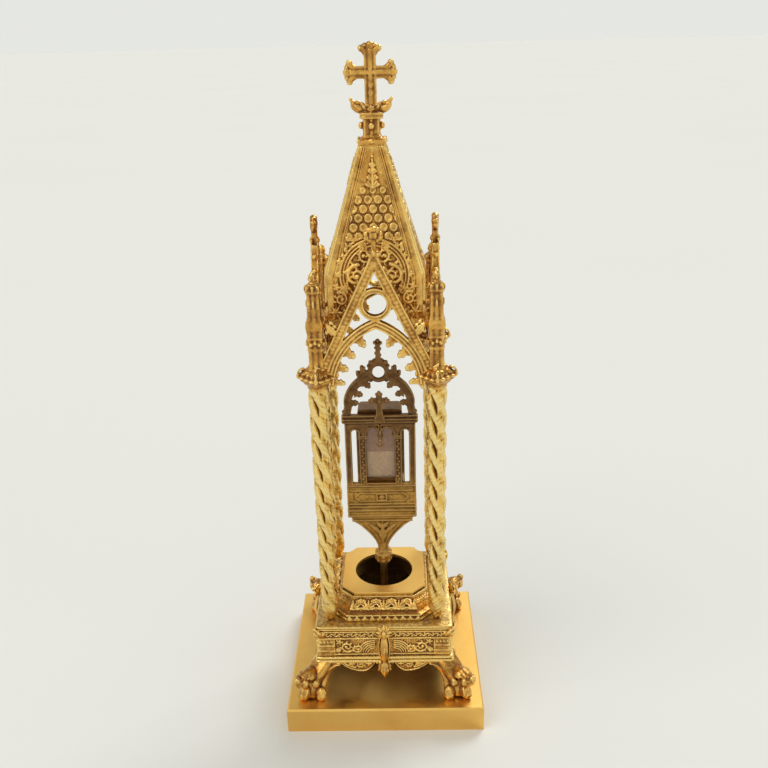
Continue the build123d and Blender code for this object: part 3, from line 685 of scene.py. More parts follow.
def make_pinnacle():
    """Fluted octagonal shaft that swells and narrows, knotted with leaves, under a leafy collar."""
    profile = ((205.4, 4.3), (206.6, 3.75), (214.6, 3.75), (216.0, 4.15), (217.0, 3.8), (220.6, 3.85),
               (221.6, 4.2), (222.6, 3.85), (226.6, 4.45), (229.0, 4.35), (232.2, 3.45), (243.4, 3.15),
               (244.6, 3.9), (245.6, 3.3), (248.4, 2.4))
    heights = np.linspace(205.4, 248.4, 110)
    reach = np.interp(heights, [p[0] for p in profile], [p[1] for p in profile])
    sides = 96
    angle = np.arange(sides) * TAU / sides
    facet = (np.abs(np.cos(angle)) ** 5 + np.abs(np.sin(angle)) ** 5) ** (-1 / 5)
    flute = 0.32 * np.abs(np.sin(4 * angle)) ** 3
    plain_zone = (np.abs(heights - 228) < 2.2) | (heights > 243.6)
    rings = [np.stack(((r * facet - (0.05 if flat else 1) * flute) * np.cos(angle),
                       (r * facet - (0.05 if flat else 1) * flute) * np.sin(angle),
                       np.full(sides, z)), -1)
             for z, r, flat in zip(heights, reach, plain_zone)]
    parts = [loft(rings)]
    for side in range(4):
        for x in (-2.0, 0.0, 2.0):
            knot = ball((x, -4.1, 218.8 + (0 if x else 0.8)), (0.95, 0.8, 1.15), 8, petals=4)
            parts.append(turned(knot, side * 90))
        parts.append(turned(ball((0, -3.5, 238.6), (0.7, 0.5, 1.9), 8), side * 90))
        for corner in (0, 45):
            tip = 3.55 if corner else 3.4
            curl = tube([(0, -2.6, 244.2), (0, -tip + 0.3, 245.2), (0, -tip, 246.6)],
                        (1.2, 1.3, 1.1), (0.7, 0.8, 0.8), (1, 0, 0), 8)
            parts.append(turned(curl, side * 90 + corner))
            parts.append(turned(ball((0, -tip, 246.8), (1.0, 0.8, 0.9), 8), side * 90 + corner))
    return cast("pinnacle", moved(join(*parts), (-COLUMN_AT, -COLUMN_AT, 0)), 0.30, 1, 0.10)


def make_pinnacle_nut():
    """Leafy bud on the tie rod."""
    parts = [tube([(0, 0, 248.5), (0, 0, 249.2), (0, 0, 249.8)], (2.1, 1.5, 1.5), None, ACROSS, 16),
             ball((0, 0, 251.3), (2.0, 2.0, 2.2), 14, petals=6, groove=0.12),
             ball((0, 0, 253.2), (0.9, 0.9, 0.9), 10)]
    for k in range(6):
        parts.append(turned(ball((1.7, 0, 250.4), (0.6, 0.55, 0.9), 8), 60 * k))
    return moved(join(*parts), (-COLUMN_AT, -COLUMN_AT, 0))


four(make_column(), "column", CORNERS, "column_gilding")
four(shift_darkness(make_capital(), 0.10), "capital", CORNERS, "gilt_casting")
four(shift_darkness(make_pinnacle(), 0.15), "pinnacle", CORNERS, "gilt_casting")
piece(cast("pinnacle_nuts_detail", all_round(make_pinnacle_nut()), 0.26), "stand", "gilt_casting",
      "pinnacle_nuts")


# ---- Gables ----------------------------------------------------------------------------

GABLE_Y = -30.0
GABLE_INNER = 1.3
GABLE_LOW = 196.6
RAKE_FOOT, RAKE_TOP = 203.6, 260.0
ARCH_CENTRE = (-13.0, 194.0)


def rake_point(z, across):
    """A point of the right rake: across 0 is its inner edge, 1 its outer edge."""
    inner, outer = max((253.8 - z) * 0.489, -1.0), 1.0 + (261.6 - z) * 0.485
    return inner + (outer - inner) * across


def rake_line(across, low=RAKE_FOOT, high=RAKE_TOP, y=0.0):
    z = np.linspace(low, high, 30)
    return np.stack(([max(rake_point(h, across), 0) for h in z], np.full(30, y), z), -1)


def make_gable():
    parts = [tube(rake_line(0.5), 2.2, 1.6, ACROSS, 12, 0.3)]
    apex = math.degrees(math.acos(13.0 / 36.6))
    parts.append(tube(arc(ARCH_CENTRE, 36.6, 6, apex, 40), 1.9, 1.5, ACROSS, 12, 0.35))
    for y in (-1.6, 1.6):
        parts.append(tube(rake_line(0.97, high=261.4, y=y), 0.5, 0.45, ACROSS, 8))
        parts.append(tube(rake_line(0.04, high=253.6, y=y), 0.45, 0.45, ACROSS, 8))
        for radius, thick in ((34.9, 0.55), (36.5, 0.6), (38.2, 0.6)):
            top = math.degrees(math.acos(13.0 / radius))
            parts.append(tube(arc(ARCH_CENTRE, radius, 5, top, 44, y), thick, 0.5, ACROSS, 8))
        for k, z in enumerate(np.arange(206.5, 259.0, 1.9)):
            x = max(rake_point(z, 0.56 if k % 2 else 0.46), 0.0)
            parts.append(ball((x, y, z), (1.35, 0.38, 1.0), 8, petals=4))
    # cusps of the arch end in leafy knobs
    for degrees in (6.3, 21.1, 35.9, 50.8):
        out = np.array((math.cos(math.radians(degrees)), 0, math.sin(math.radians(degrees))))
        centre = np.array((ARCH_CENTRE[0], 0, ARCH_CENTRE[1]))
        reach = np.array((36.0, 34.6, 33.2, 31.8, 30.6))
        parts.append(tube(centre + out * reach[:, None], (4.6, 3.8, 2.4, 1.5, 1.2),
                          (1.3, 1.3, 1.25, 1.2, 1.1), ACROSS, 10, 0.6))
        parts.append(ball(centre + out * 30.0, (1.5, 1.5, 1.5), 10, petals=5))
        side = np.array((-out[2], 0, out[0]))
        for s in (-1, 1):
            parts.append(ball(centre + out * 31.2 + side * s * 1.35, (0.95, 1.2, 0.95), 8))
    # a leafy crocket out from the rake, and the leaf ball on its foot
    for z, size, away in ((205.8, 2.5, 0.6), (226.2, 3.1, 3.3)):
        x = rake_point(z, 1.0) + away
        parts.append(tube(line((x - away - 1.0, 0, z - 1.5), (x, 0, z), 5), 1.3, 1.4, ACROSS, 8))
        for dx, dz in ((0.15, 0.0), (0.75, 0.45), (0.7, -0.5), (0.0, 0.85), (-0.5, 0.3), (-0.3, -0.7)):
            parts.append(ball((x + dx * size, -0.3, z + dz * size), (size * 0.5, size * 0.66, size * 0.5),
                              10, petals=5))
        parts.append(leaf((x - size * 0.6, -1.6, z - size), (x + size * 0.7, -2.4, z + size), size * 0.7,
                          (0, -1, 0), 0.8, 0.7, 3))
    for z in (212.0, 218.5, 234.5, 241.5, 248.5, 255.0):
        x = rake_point(z, 1.0)
        parts.append(ball((x + 0.3, 0, z), (1.0, 1.5, 1.3), 10, petals=4))
    whole = mirrored(join(*parts))
    extra = [ring((0, 237.9), 6.75, 1.3, 0, 1.5)]
    for y in (-1.6, 1.6):
        extra += [ring((0, 237.9), 6.0, 0.5, y, 0.5), ring((0, 237.9), 7.4, 0.6, y, 0.5)]
        extra.append(ball((0, y, 262.6), (1.4, 1.1, 1.6), 10, petals=5))
        extra.append(ball((0, y, 257.2), (1.7, 0.9, 1.7), 10, petals=5))
    extra.append(tube(line((0, 0, 229.6), (0, 0, 231.4), 4), 2.0, 1.4, ACROSS, 8, 0.5))
    # stalk, side leaves and the fleur on top
    extra.append(tube(line((0, 0, 256), (0, 0, 269), 8), (2.0, 1.8, 1.5, 1.3, 1.15, 1.15, 1.2, 1.3),
                      1.6, ACROSS, 10, 0.5))
    for side in (-1, 1):
        extra.append(leaf((0, -0.6, 260.4), (side * 3.4, -0.9, 263.0), 1.3, (0, -1, 0.2), 0.7, 0.9, 2))
        for x, z, r in ((2.9, 269.8, 1.8), (3.3, 271.6, 1.4), (1.7, 273.0, 1.8), (1.7, 268.6, 1.5)):
            extra.append(ball((side * x, 0, z), (r, 1.9, r), 10, petals=5))
    for z, r in ((270.9, 3.0), (273.6, 1.8)):
        extra.append(ball((0, 0, z), (r, 2.2, r * 0.95), 12, petals=6))
    verts, faces = join(whole, *extra)
    low = verts[:, 2] < 216.0
    verts[low, 1] = np.minimum(verts[low, 1], GABLE_INNER)
    inside = np.abs(verts[:, 0]) < 21.0
    verts[inside, 2] = np.maximum(verts[inside, 2], GABLE_LOW)
    return cast("gable", moved((verts, faces), (0, GABLE_Y, 0)), 0.34, 1, 0.14)


four(shift_darkness(make_gable(), 0.26, above=260.0), "gable", SIDES, "gilt_casting")


# ---- Spire -----------------------------------------------------------------------------

SPIRE_LOW, SPIRE_SHOULDER, SPIRE_TOP = 228.0, 250.5, 308.0
SPIRE_HALF, SPIRE_TIP = 23.5, 6.1


def spire_half(z):
    slope = np.clip((z - SPIRE_SHOULDER) / (SPIRE_TOP - SPIRE_SHOULDER), 0, 1)
    return SPIRE_HALF + (SPIRE_TIP - SPIRE_HALF) * slope


def spire_relief(x, z):
    """Corner bands, border rolls, leaf stack, round scales, and an arch with scrolls."""
    r = Relief(x, z)
    inset = spire_half(z) - np.abs(x)
    band = 1.3 + 0.115 * spire_half(z)
    r.raise_to(0.7 * np.sqrt(np.clip(1 - ((inset - band * 0.42) / (band * 0.58)) ** 2, 0, 1)))
    for offset, thick, tall in ((0.55, 0.42, 0.55), (1.45, 0.34, 0.42)):
        r.raise_to(tall * np.sqrt(np.clip(1 - ((inset - band - offset) / thick) ** 2, 0, 1)))
    field = inset > band + 2.0
    outside_arch = np.hypot(x, z - 250.0) > 17.6
    for row in range(7):
        level = 288.4 - row * 4.15
        for k in range(-4, 5):
            cx = (k + (0.5 if row % 2 else 0.0)) * 4.75
            size = 2.15 if row else 1.7
            near = ((x - cx) ** 2 + (z - level) ** 2) / size ** 2
            disc = (near < 1) & field & outside_arch
            dome = 0.85 * np.clip((1 - near) * 3.5, 0, 1) ** 0.7 - 0.28 * np.clip(1 - near * 2.6, 0, 1)
            r.raise_to(np.where(disc, dome, 0))
    for level, wide in ((301.0, 0.8), (298.2, 1.2), (295.2, 1.6), (292.0, 2.0)):
        for side in (-1, 1):
            for a in (15, 50, 85):
                a = math.radians(a)
                tip = (side * wide * 1.5 * math.cos(a), level - 1.6 + wide * 1.1 * math.sin(a))
                r.stroke(line((0, level - 2.8), tip, 9), np.linspace(0.45, 0.6 + 0.15 * wide, 9), 1.15)
    r.stroke(line((0, 289.5), (0, 302), 30), 0.7, 1.3)
    r.stroke([(0, 303.6)], 0.95, 1.1)
    frame_zone = (inset > band + 0.3) & (z > 233)
    for radius, thick, tall in ((16.4, 0.75, 0.95), (14.9, 0.5, 0.65), (13.4, 0.65, 0.9)):
        r.circle((0, 250.0), radius, thick, tall, frame_zone)
    for side in (-1, 1):
        start = 65 if side > 0 else 115
        r.scroll(np.array((side * 8.3, 249.8)), 5.2, 0.9, start + side * 30, 1.6, 1.3, 1.35, -side)
        r.scroll(np.array((side * 4.4, 259.4)), 3.4, 0.7, 250 if side > 0 else 290, 1.2, 0.85, 1.1, side)
        r.petals((side * 5.0, 262.4), 5, 2.4, 0.9, 1.0, start=20 if side > 0 else 70, spread=90)
        r.scroll(np.array((side * 16.4, 238.6)), 3.6, 0.8, start, 1.4, 1.15, 1.3, side)
        r.petals((side * 19.2, 231.8), 6, 3.0, 1.15, 1.25)
        r.petals((side * 13.6, 243.6), 5, 2.2, 0.9, 1.1)
        r.petals((side * 18.4, 244.4), 5, 1.9, 0.8, 1.0)
        r.petals((side * 17.2, 250.6), 5, 1.5, 0.6, 0.9)
        for k in range(6):
            r.petals((side * (16.4 - k * 1.7), 256.8 + k * 2.3), 4, 1.2, 0.55, 0.8, 0, 360)
    r.h = r.h + spatter(x, z, 1.1, 0.05) * (r.h < 0.3) + spatter(x, z, 3.0, 0.03)
    return r.h


def make_spire_face():
    """One side of the spire, open at its foot where the gable's own opening is."""
    rows, cols = 230, 62
    z = np.linspace(SPIRE_LOW, SPIRE_TOP, rows)[:, None]
    across = np.linspace(0, 1, cols)[None]
    opening = np.clip(12.4 * (252.6 - z) / (252.6 - SPIRE_LOW), 0, None)
    half = spire_half(z)
    x = opening + (half - opening) * across
    z = z + 0 * x
    shapes = []
    for side in (-1, 1):
        height = spire_relief(side * x, z)
        taper = np.clip((half - x) / 0.5, 0, 1)
        depth = -spire_half(z) - height * taper
        points = np.stack((side * x, depth, z + 0.3 * height * taper), -1)
        shapes.append(grid_shape(points if side > 0 else points[:, ::-1]))
    obj = mesh_object("spire_shell_detail", join(*shapes))
    tidy_faces(obj)
    shell = obj.modifiers.new("wall", "SOLIDIFY")
    shell.thickness = 1.6 * MM
    shell.offset = -1.0
    return settle(obj)


def make_spire_lugs():
    """Leafy stays between the spire's corners and the pinnacles."""
    parts = [tube([(-22.2, -22.2, 236.2), (-24.0, -24.0, 236.2), (-25.8, -25.8, 236.2)], (1.2, 0.9, 1.2)),
             ball((-25.0, -25.0, 236.2), (1.5, 1.5, 2.2), 12, petals=6)]
    return cast("spire_lugs", all_round(join(*parts)), 0.3)


def make_spire_collar():
    """Flared square rim over the spire's tip, a ridged neck with side knobs."""
    parts = [square_stack(((6.2, 307.4), (6.4, 308.2), (6.5, 308.6), (6.8, 309.6), (6.8, 310.4), (6.2, 311.0),
                           (5.0, 311.6), (4.2, 312.6), (3.6, 313.2), (3.5, 319.4), (4.2, 320.2)), 0.12)]
    for side in range(4):
        parts.append(turned(tube(line((0, -3.4, 312.8), (0, -3.4, 320), 6), 0.75, 0.8, ACROSS, 8), 90 * side))
        parts.append(turned(tube(line((-3.1, -3.1, 312.8), (-3.1, -3.1, 320), 6), 0.7, 0.7, ACROSS, 8), 90 * side))
        parts.append(turned(ball((0, -5.0, 317.0), (1.5, 1.6, 1.7), 12, petals=6), 90 * side))
        parts.append(turned(tube([(0, -3.2, 315.4), (0, -4.4, 316.2), (0, -5.0, 317.0)], (1.1, 0.9, 0.8), None,
                                 (1, 0, 0), 8), 90 * side))
        parts.append(turned(leaf((0, -5.6, 311.4), (0, -7.0, 309.2), 1.6, (0, -1, 0.4), 0.4, 0.4, 2), 90 * side))
        parts.append(turned(ball((-6.4, -6.4, 310.6), (0.8, 0.8, 1.0), 10), 90 * side))
    return cast("spire_collar_detail", join(*parts), 0.28)


def make_leaf_collar():
    """Double ring with four upturned horn leaves."""
    parts = [square_stack(((4.2, 319.8), (5.6, 320.2), (5.7, 321.2), (5.0, 321.5), (5.6, 321.9), (5.6, 322.9),
                           (4.4, 323.3), (3.4, 324.4), (3.4, 326.6)), 0.5)]
    horn = smooth_path([(2.4, 0, 323.9), (5.2, 0, 324.3), (7.6, 0, 325.6), (8.7, 0, 327.6), (9.9, 0, 328.9)], 24)
    size = np.interp(np.linspace(0, 1, 24), (0, 0.35, 0.62, 0.8, 1), (1.6, 2.2, 1.7, 0.9, 0.7))
    for side in range(4):
        if side % 2:
            for part in (ball((3.9, 0, 324.6), (1.9, 2.0, 1.7), 12, petals=5),
                         leaf((2.8, 0, 322.9), (5.6, 0, 326.4), 1.6, (1, 0, 0), 0.6, 0.6)):
                parts.append(turned(part, 90 * side))
        else:
            for part in (tube(horn, size, size, (-0.4, 0, 1), 12),
                         ball((9.7, 0, 329.0), (0.85, 0.8, 0.75), 10),
                         ball((6.2, 0, 327.0), (1.4, 1.5, 1.4), 10, petals=5),
                         ball((4.2, 0, 326.2), (1.4, 1.8, 1.5), 10, petals=5),
                         leaf((3.4, -1.4, 323.4), (7.6, -1.8, 326.2), 1.2, (0, -1, 0), 0.5, 0.5),
                         leaf((3.4, 1.4, 323.4), (7.6, 1.8, 326.2), 1.2, (0, 1, 0), 0.5, 0.5)):
                parts.append(turned(part, 90 * side))
        parts.append(turned(leaf((2.6, 0, 323.0), (5.4, 0, 326.6), 1.4, (0.3, 0, -1), 0.4, 0.6), 45 + 90 * side))
    return cast("leaf_collar_detail", join(*parts), 0.28)


def cross_arm(length):
    """Bar with a ridge along its middle and rolled edges, from the cross's centre towards +X."""
    parts = [tube(line((0, 0, 0), (length, 0, 0), 8), 2.7, 1.6, ACROSS, 12, 0.4)]
    for y in (-1.35, 1.35):
        parts.append(tube(line((0, y, 0), (length, y, 0), 8), 1.1, 0.75, ACROSS, 10))
        for s in (-1, 1):
            parts.append(tube(line((0, y * 0.9, s * 2.35), (length, y * 0.9, s * 2.35), 8), 0.5, 0.5, ACROSS, 8))
    return parts


def cross_end(reach):
    """One arm of the cross with the three leafy lobes on its end."""
    parts = cross_arm(reach - 3.6)
    for s in (-1, 1):
        curl = smooth_path([(reach - 5.4, 0, s * 1.4), (reach - 3.8, 0, s * 2.8), (reach - 2.9, 0, s * 4.0),
                            (reach - 3.4, 0, s * 5.0)], 18)
        parts.append(tube(curl, np.linspace(1.9, 1.1, 18), 1.7, ACROSS, 10))
        parts.append(ball((reach - 3.3, 0, s * 4.3), (1.6, 1.9, 1.3), 12, petals=5))
        parts.append(ball((reach - 2.0, 0, s * 2.3), (1.3, 1.7, 1.3), 10, petals=4))
    parts.append(tube([(reach - 5.0, 0, 0), (reach - 2.6, 0, 0), (reach - 1.0, 0, 0), (reach - 0.1, 0, 0)],
                      (2.0, 2.5, 1.8, 0.6), (1.5, 1.8, 1.5, 0.8), ACROSS, 12))
    parts.append(ball((reach - 1.7, 0, 0), (1.6, 2.0, 1.8), 12, petals=6))
    return join(*parts)


def make_cross():
    upper = cross_end(13.6)
    foot = join(*cross_arm(15.4))
    foot = (foot[0][:, (2, 1, 0)] * (1, 1, -1), foot[1])
    boss = ball((0, 0, 0), (2.6, 2.2, 2.6), 14, petals=8)
    extra = [ball((0, y, z), (1.3, 0.8, 1.7), 10, petals=5) for y in (-1.8, 1.8) for z in (-5.5, -9.0)]
    whole = join(mirrored(cross_end(12.8)), (upper[0][:, (2, 1, 0)], upper[1]), boss, foot, *extra)
    stud = tube(line((0, 0, 296.5), (0, 0, 327), 8), 1.5, None, ACROSS, 14)
    return cast("cross_finial_detail", join(moved(whole, (0, 0, 340.6)), stud), 0.28)


four(shift_darkness(make_spire_face(), -0.04, keep=0.55), "spire_shell", SIDES, "gilt_casting", "spire_shell")
piece(shift_darkness(make_spire_lugs(), 0.5), "stand", "gilt_casting")
piece(shift_darkness(make_spire_collar(), 0.10), "stand", "gilt_casting", "spire_collar")
piece(shift_darkness(make_leaf_collar(), 0.10), "stand", "gilt_casting", "leaf_collar")
piece(shift_darkness(make_cross(), 0.10), "stand", "gilt_casting", "cross_finial")


# ---- Pedestal --------------------------------------------------------------------------

PANEL_FACE, PANEL_END = 36.5, 36.4
FRIEZE_TOP = 53.6


def apron_edge(x):
    """Height of the scalloped lower edge of a side panel at x."""
    x = np.abs(x)
    lobe = 26.2 + 6.6 * np.clip(np.abs(x - 12.4) / np.where(x > 12.4, 13.2, 7.4), 0, 1) ** 2.1
    return np.where(x < 5.0, 31.4, np.where(x > 25.6, 33.0, lobe))


def panel_relief(x, z):
    r = Relief(x, z)
    ax = np.abs(x)
    edge = z - apron_edge(x)
    r.raise_to(np.where(ax < 26, 0.6 * np.sqrt(np.clip(1 - ((edge - 0.55) / 0.5) ** 2, 0, 1)), 0))
    for level, thick, tall in ((48.7, 0.45, 0.75), (53.1, 0.45, 0.8), (38.0, 0.4, 0.5)):
        r.raise_to(tall * np.sqrt(np.clip(1 - ((z - level) / thick) ** 2, 0, 1)))
    # frieze: a running wave of small leaves
    wave = 50.9 + 0.75 * np.sin(TAU * ax / 4.6)
    r.raise_to(0.55 * np.sqrt(np.clip(1 - ((z - wave) / 0.42) ** 2, 0, 1)) * (np.abs(z - 50.9) < 1.9))
    for k in range(14):
        for side in (-1, 1):
            cx = side * (6.3 + 2.3 * k)
            r.stroke([(cx, 50.9 + (0.75 if k % 2 else -0.75))], 0.6, 0.65)
    # outer blocks: a framed panel with flutes
    step = (ax > 27.4) & (z > 37.5) & (z < 48.3)
    r.raise_to(np.where(step, 0.55, 0))
    for level in (40.6, 44.0):
        r.raise_to(np.where(step, 0.55 + 0.35 * np.sqrt(np.clip(1 - ((z - level) / 0.8) ** 2, 0, 1)), 0))
    for side in (-1, 1):
        for k in range(4):
            r.petals((side * (29.2 + 1.9 * k), 46.6), 3, 0.9, 0.45, 1.0, 0, 360)
        # centre field: fans of curved lines and an acanthus scroll
        for k in range(5):
            radius = 3.4 + 1.25 * k
            points = arc((side * 6.0, 38.6), radius, 8 if side > 0 else 172, 96 if side > 0 else 84, 40)[:, (0, 2)]
            keep = (points[:, 1] < 48.1) & (np.abs(points[:, 0]) < 26.6)
            r.stroke(points[keep], 0.4, 0.55)
        r.scroll(np.array((side * 20.5, 43.2)), 4.0, 0.7, 180 if side > 0 else 0, 1.5, 0.75, 0.8, side)
        r.scroll(np.array((side * 14.6, 42.0)), 2.9, 0.6, 0 if side > 0 else 180, 1.3, 0.6, 0.7, -side)
        r.petals((side * 25.0, 40.0), 5, 2.2, 0.6, 0.8, 20 if side > 0 else 60, 100)
        r.petals((side * 24.8, 46.4), 5, 1.9, 0.55, 0.7, 0, 360)
        # apron: scroll and leaves in each lobe
        r.scroll(np.array((side * 13.4, 31.0)), 2.7, 0.6, 150 if side > 0 else 30, 1.3, 0.65, 0.8, -side)
        r.petals((side * 18.6, 31.6), 5, 2.0, 0.6, 0.75, 0, 360)
        r.petals((side * 9.0, 31.6), 4, 1.6, 0.5, 0.7, 0, 360)
        r.stroke(smooth_path([(side * 24.0, 33.0, 0), (side * 20.5, 30.6, 0), (side * 16.5, 29.0, 0)], 30)[:, :2],
                 np.linspace(0.35, 0.7, 30), 0.7)
    ground = spatter(x, z, 1.0, 0.10) * (r.h < 0.25)
    return r.h * 1.4 + ground + spatter(x, z, 2.6, 0.08)


def make_side_panel():
    cols, rows = 236, 92
    x = np.linspace(-PANEL_END, PANEL_END, cols)[None]
    low = apron_edge(x)
    z = low + (FRIEZE_TOP - low) * np.linspace(0, 1, rows)[:, None]
    x = x + 0 * z
    height = panel_relief(x, z)
    taper = np.clip((PANEL_END - np.abs(x)) / 0.4, 0, 1)
    points = np.stack((x, -PANEL_FACE + 0.25 - height * taper, z), -1)
    obj = mesh_object("side_panel", grid_shape(points))
    wall = obj.modifiers.new("wall", "SOLIDIFY")
    wall.thickness = 2.2 * MM
    wall.offset = -1.0
    # the panel's back and rim get the near-black inner material, painted shade for the inside
    wall.material_offset = 1
    obj.data.materials.append(MATERIALS["gilt_casting"])
    obj.data.materials.append(MATERIALS["inner_dark"])
    return settle(obj)


def make_corner_posts():
    """Posts in the corners and the leaf ornament over each of them."""
    parts = [box((-36.3, -33.0), (-36.3, -33.0), (33.2, 53.6))]
    d = 1 / math.sqrt(2)
    for z, tip, size in ((50.0, 53.6, 1.9), (52.6, 56.8, 2.0)):
        parts.append(leaf((-36.0, -36.0, z), (-38.0, -38.0, tip), size, (-d, -d, 0.2), 0.9, 0.8))
    parts.append(swapped(join(
        leaf((-34.0, -36.6, 50.6), (-36.8, -38.2, 55.6), 1.5, (-0.3, -1, 0), 0.9, 0.8),
        ball((-33.4, -37.2, 52.2), (1.1, 0.9, 1.2), 10, petals=5),
        ball((-36.2, -37.4, 54.6), (1.2, 1.2, 1.2), 10, petals=5))))
    parts.append(ball((-37.3, -37.3, 51.4), (1.3, 1.3, 1.5), 12, petals=6))
    for z in (40.0, 43.4, 46.8):
        parts.append(ball((-36.4, -36.4, z), (0.75, 0.75, 1.2), 10))
    return cast("corner_posts_detail", all_round(join(*parts)), 0.32)


def rolled_square(profile, power=0.05):
    """Moulding ring from an outline of (half width, z) pairs that closes on itself."""
    cos, sin = section(256, power)
    rings = [np.stack((half * cos, half * sin, np.full(256, z)), -1) for half, z in profile]
    return loft(rings, closed=True)


def bead_outline(half, z, r, steps=7):
    """Half round from bottom to top, out from `half`."""
    a = np.linspace(-math.pi / 2, math.pi / 2, steps)
    return [(half + r * math.cos(t), z + r * math.sin(t)) for t in a]


def make_lower_moulding():
    outline = [(36.2, 33.0), (37.6, 33.0)] + bead_outline(37.6, 34.1, 1.0) + [(37.5, 35.15)]
    outline += bead_outline(37.3, 36.15, 0.9) + [(36.2, 37.2)]
    return plain("lower_moulding_detail", rolled_square(outline))


def make_cornice():
    outline = [(19.0, 53.5), (36.6, 53.5), (36.7, 54.0)] + bead_outline(36.7, 54.6, 0.55) + [(36.8, 55.2)]
    outline += [(37.3, 55.5)] + bead_outline(37.0, 56.1, 0.6) + [(36.6, 56.8), (36.0, 57.0), (19.0, 57.0)]
    obj = plain("cornice_detail", rolled_square(outline))
    # inner faces get the near-black painted shade
    paint_inner_shade(obj, 19.3)
    return obj


def make_leaf_bracket():
    """A leafy head over the cornice, a long lens-shaped tongue and a drooping leaf."""
    parts = [ball((0, -39.6, 55.6), (3.3, 2.3, 3.6), 14, petals=8)]
    for a in range(0, 360, 45):
        d = np.array((math.sin(math.radians(a)), 0, math.cos(math.radians(a))))
        parts.append(leaf(np.array((0, -40.2, 55.4)) + d * 0.8, np.array((0, -39.8, 55.4)) + d * 4.4,
                          1.15, (0, -1, 0), 0.9, 0.7, 2))
    parts.append(ball((0, -42.0, 55.6), (1.2, 1.0, 1.3), 10))
    parts.append(tube(smooth_path([(0, -38.6, 52.0), (0, -39.8, 48.0), (0, -40.4, 43.0), (0, -39.9, 38.0),
                                   (0, -38.8, 35.0)], 24),
                      2.0 * np.sin(np.linspace(0.5, 2.75, 24)) + 0.25, 1.3, (0, -1, 0), 12))
    parts.append(tube(smooth_path([(0, -39.6, 49.5), (0, -41.2, 45.0), (0, -41.4, 41.0), (0, -40.0, 36.6)], 20),
                      0.5, 0.6, (0, -1, 0), 8))
    for side in (-1, 1):
        parts.append(tube(smooth_path([(side * 2.2, -38.0, 51.0), (side * 2.9, -38.3, 46.0),
                                       (side * 2.7, -38.4, 40.0), (side * 1.9, -38.3, 35.4)], 20),
                          0.5, 0.9, (0, -1, 0), 8))
        parts.append(leaf((side * 0.8, -38.6, 34.6), (side * 3.6, -38.8, 28.6), 1.5, (side * 0.2, -1, 0), 0.6, 0.7))
        parts.append(ball((side * 2.6, -38.8, 34.4), (1.1, 1.0, 1.1), 10, petals=5))
    parts.append(leaf((0, -39.2, 34.8), (0, -39.6, 24.9), 2.5, (0, -1, 0), 1.5, 1.0, 3))
    parts.append(box((-2.4, 2.4), (-38.0, -36.4), (31.0, 53.4)))
    return cast("leaf_bracket", join(*parts), 0.28)


def lobe(centre, toward, length, wide, petals=7):
    """A grooved bud whose long axis points along `toward`."""
    verts, faces = ball((0, 0, 0), (wide, wide, length), 14, petals=petals, groove=0.18)
    axis = np.asarray(toward, float) / np.linalg.norm(toward)
    helper = np.cross(axis, (0.3, 0.9, 0.2))
    helper /= np.linalg.norm(helper)
    basis = np.stack((helper, np.cross(axis, helper), axis))
    return verts @ basis + np.asarray(centre, float), faces


def make_foot():
    """Front left foot: a slim S-curved leg between two scrolled arms, on rounded leafy toes."""
    spine = smooth_path([(-30.8, -30.8, 33.2), (-35.0, -35.0, 31.4), (-39.2, -39.2, 27.0),
                         (-41.0, -41.0, 20.6), (-42.0, -42.0, 15.6)], 24)
    parts = [tube(spine, np.interp(np.linspace(0, 1, 24), (0, 0.4, 0.75, 1), (6.6, 6.2, 5.0, 4.6)),
                  np.interp(np.linspace(0, 1, 24), (0, 0.4, 1), (4.2, 3.4, 3.0)), (1, 1, 0.01), 14, 0.8)]
    arm = smooth_path([(-24.6, -37.6, 32.8), (-28.6, -37.8, 31.4), (-32.4, -38.8, 27.6),
                       (-34.4, -41.0, 22.4), (-35.2, -43.8, 17.6)], 28)
    side = [tube(arm, np.linspace(1.2, 2.5, 28), np.linspace(1.5, 2.3, 28), (0.1, -1, 0), 12),
            tube(arm + (-0.4, -1.6, 0.3), np.linspace(0.3, 0.6, 28), 0.6, (0, -1, 0), 8),
            tube(line((-26, -36.8, 33.0), (-37, -37.2, 33.0), 6), 1.4, 1.6, (0, -1, 0), 10)]
    web = [(-27.5, -36.8, 32.6), (-31.5, -37.0, 31.2), (-35.2, -37.8, 28.4), (-37.6, -39.6, 24.0)]
    side.append(tube(smooth_path(web, 16), np.linspace(1.4, 3.0, 16), 1.5, (0, -1, 0), 10))
    side.append(lobe((-35.5, -45.0, 18.4), (0.06, -0.25, -1), 4.0, 3.1, 5))
    side.append(ball((-35.4, -45.9, 17.2), (3.0, 2.7, 2.8), 14, petals=5, groove=0.1))
    side.append(ball((-38.2, -44.4, 24.6), (2.3, 2.0, 2.6), 12, petals=5, groove=0.12))
    side.append(leaf((-38.6, -41.4, 29.4), (-42.6, -46.2, 29.6), 2.4, (0.2, -1, 0.5), 1.2, 1.2, 2))
    side.append(ball((-47.6, -43.6, 27.4), (2.2, 2.2, 2.6), 12, petals=5, groove=0.14))
    parts.append(swapped(join(*side)))
    parts.append(lobe((-44.4, -44.4, 18.4), (-0.3, -0.3, -1), 4.2, 3.7, 6))
    parts.append(ball((-45.2, -45.2, 17.4), (3.3, 3.3, 3.0), 14, petals=6, groove=0.12))
    parts.append(lobe((-45.6, -45.6, 27.0), (-0.8, -0.8, 0.5), 4.6, 4.0, 7))
    parts.append(ball((-47.9, -47.9, 29.6), (2.2, 2.2, 2.2), 14, petals=6, groove=0.12))
    parts.append(tube(smooth_path([(-39, -39, 29.6), (-42.5, -42.5, 31.0), (-45.6, -45.6, 29.6)], 12), 2.8, 1.8,
                      (-0.3, -0.3, 1), 12))
    verts, faces = join(*parts)
    verts[:, 2] = np.maximum(verts[:, 2], 14.45)
    return cast("foot", (verts, faces), 0.34, 2, 0.16)


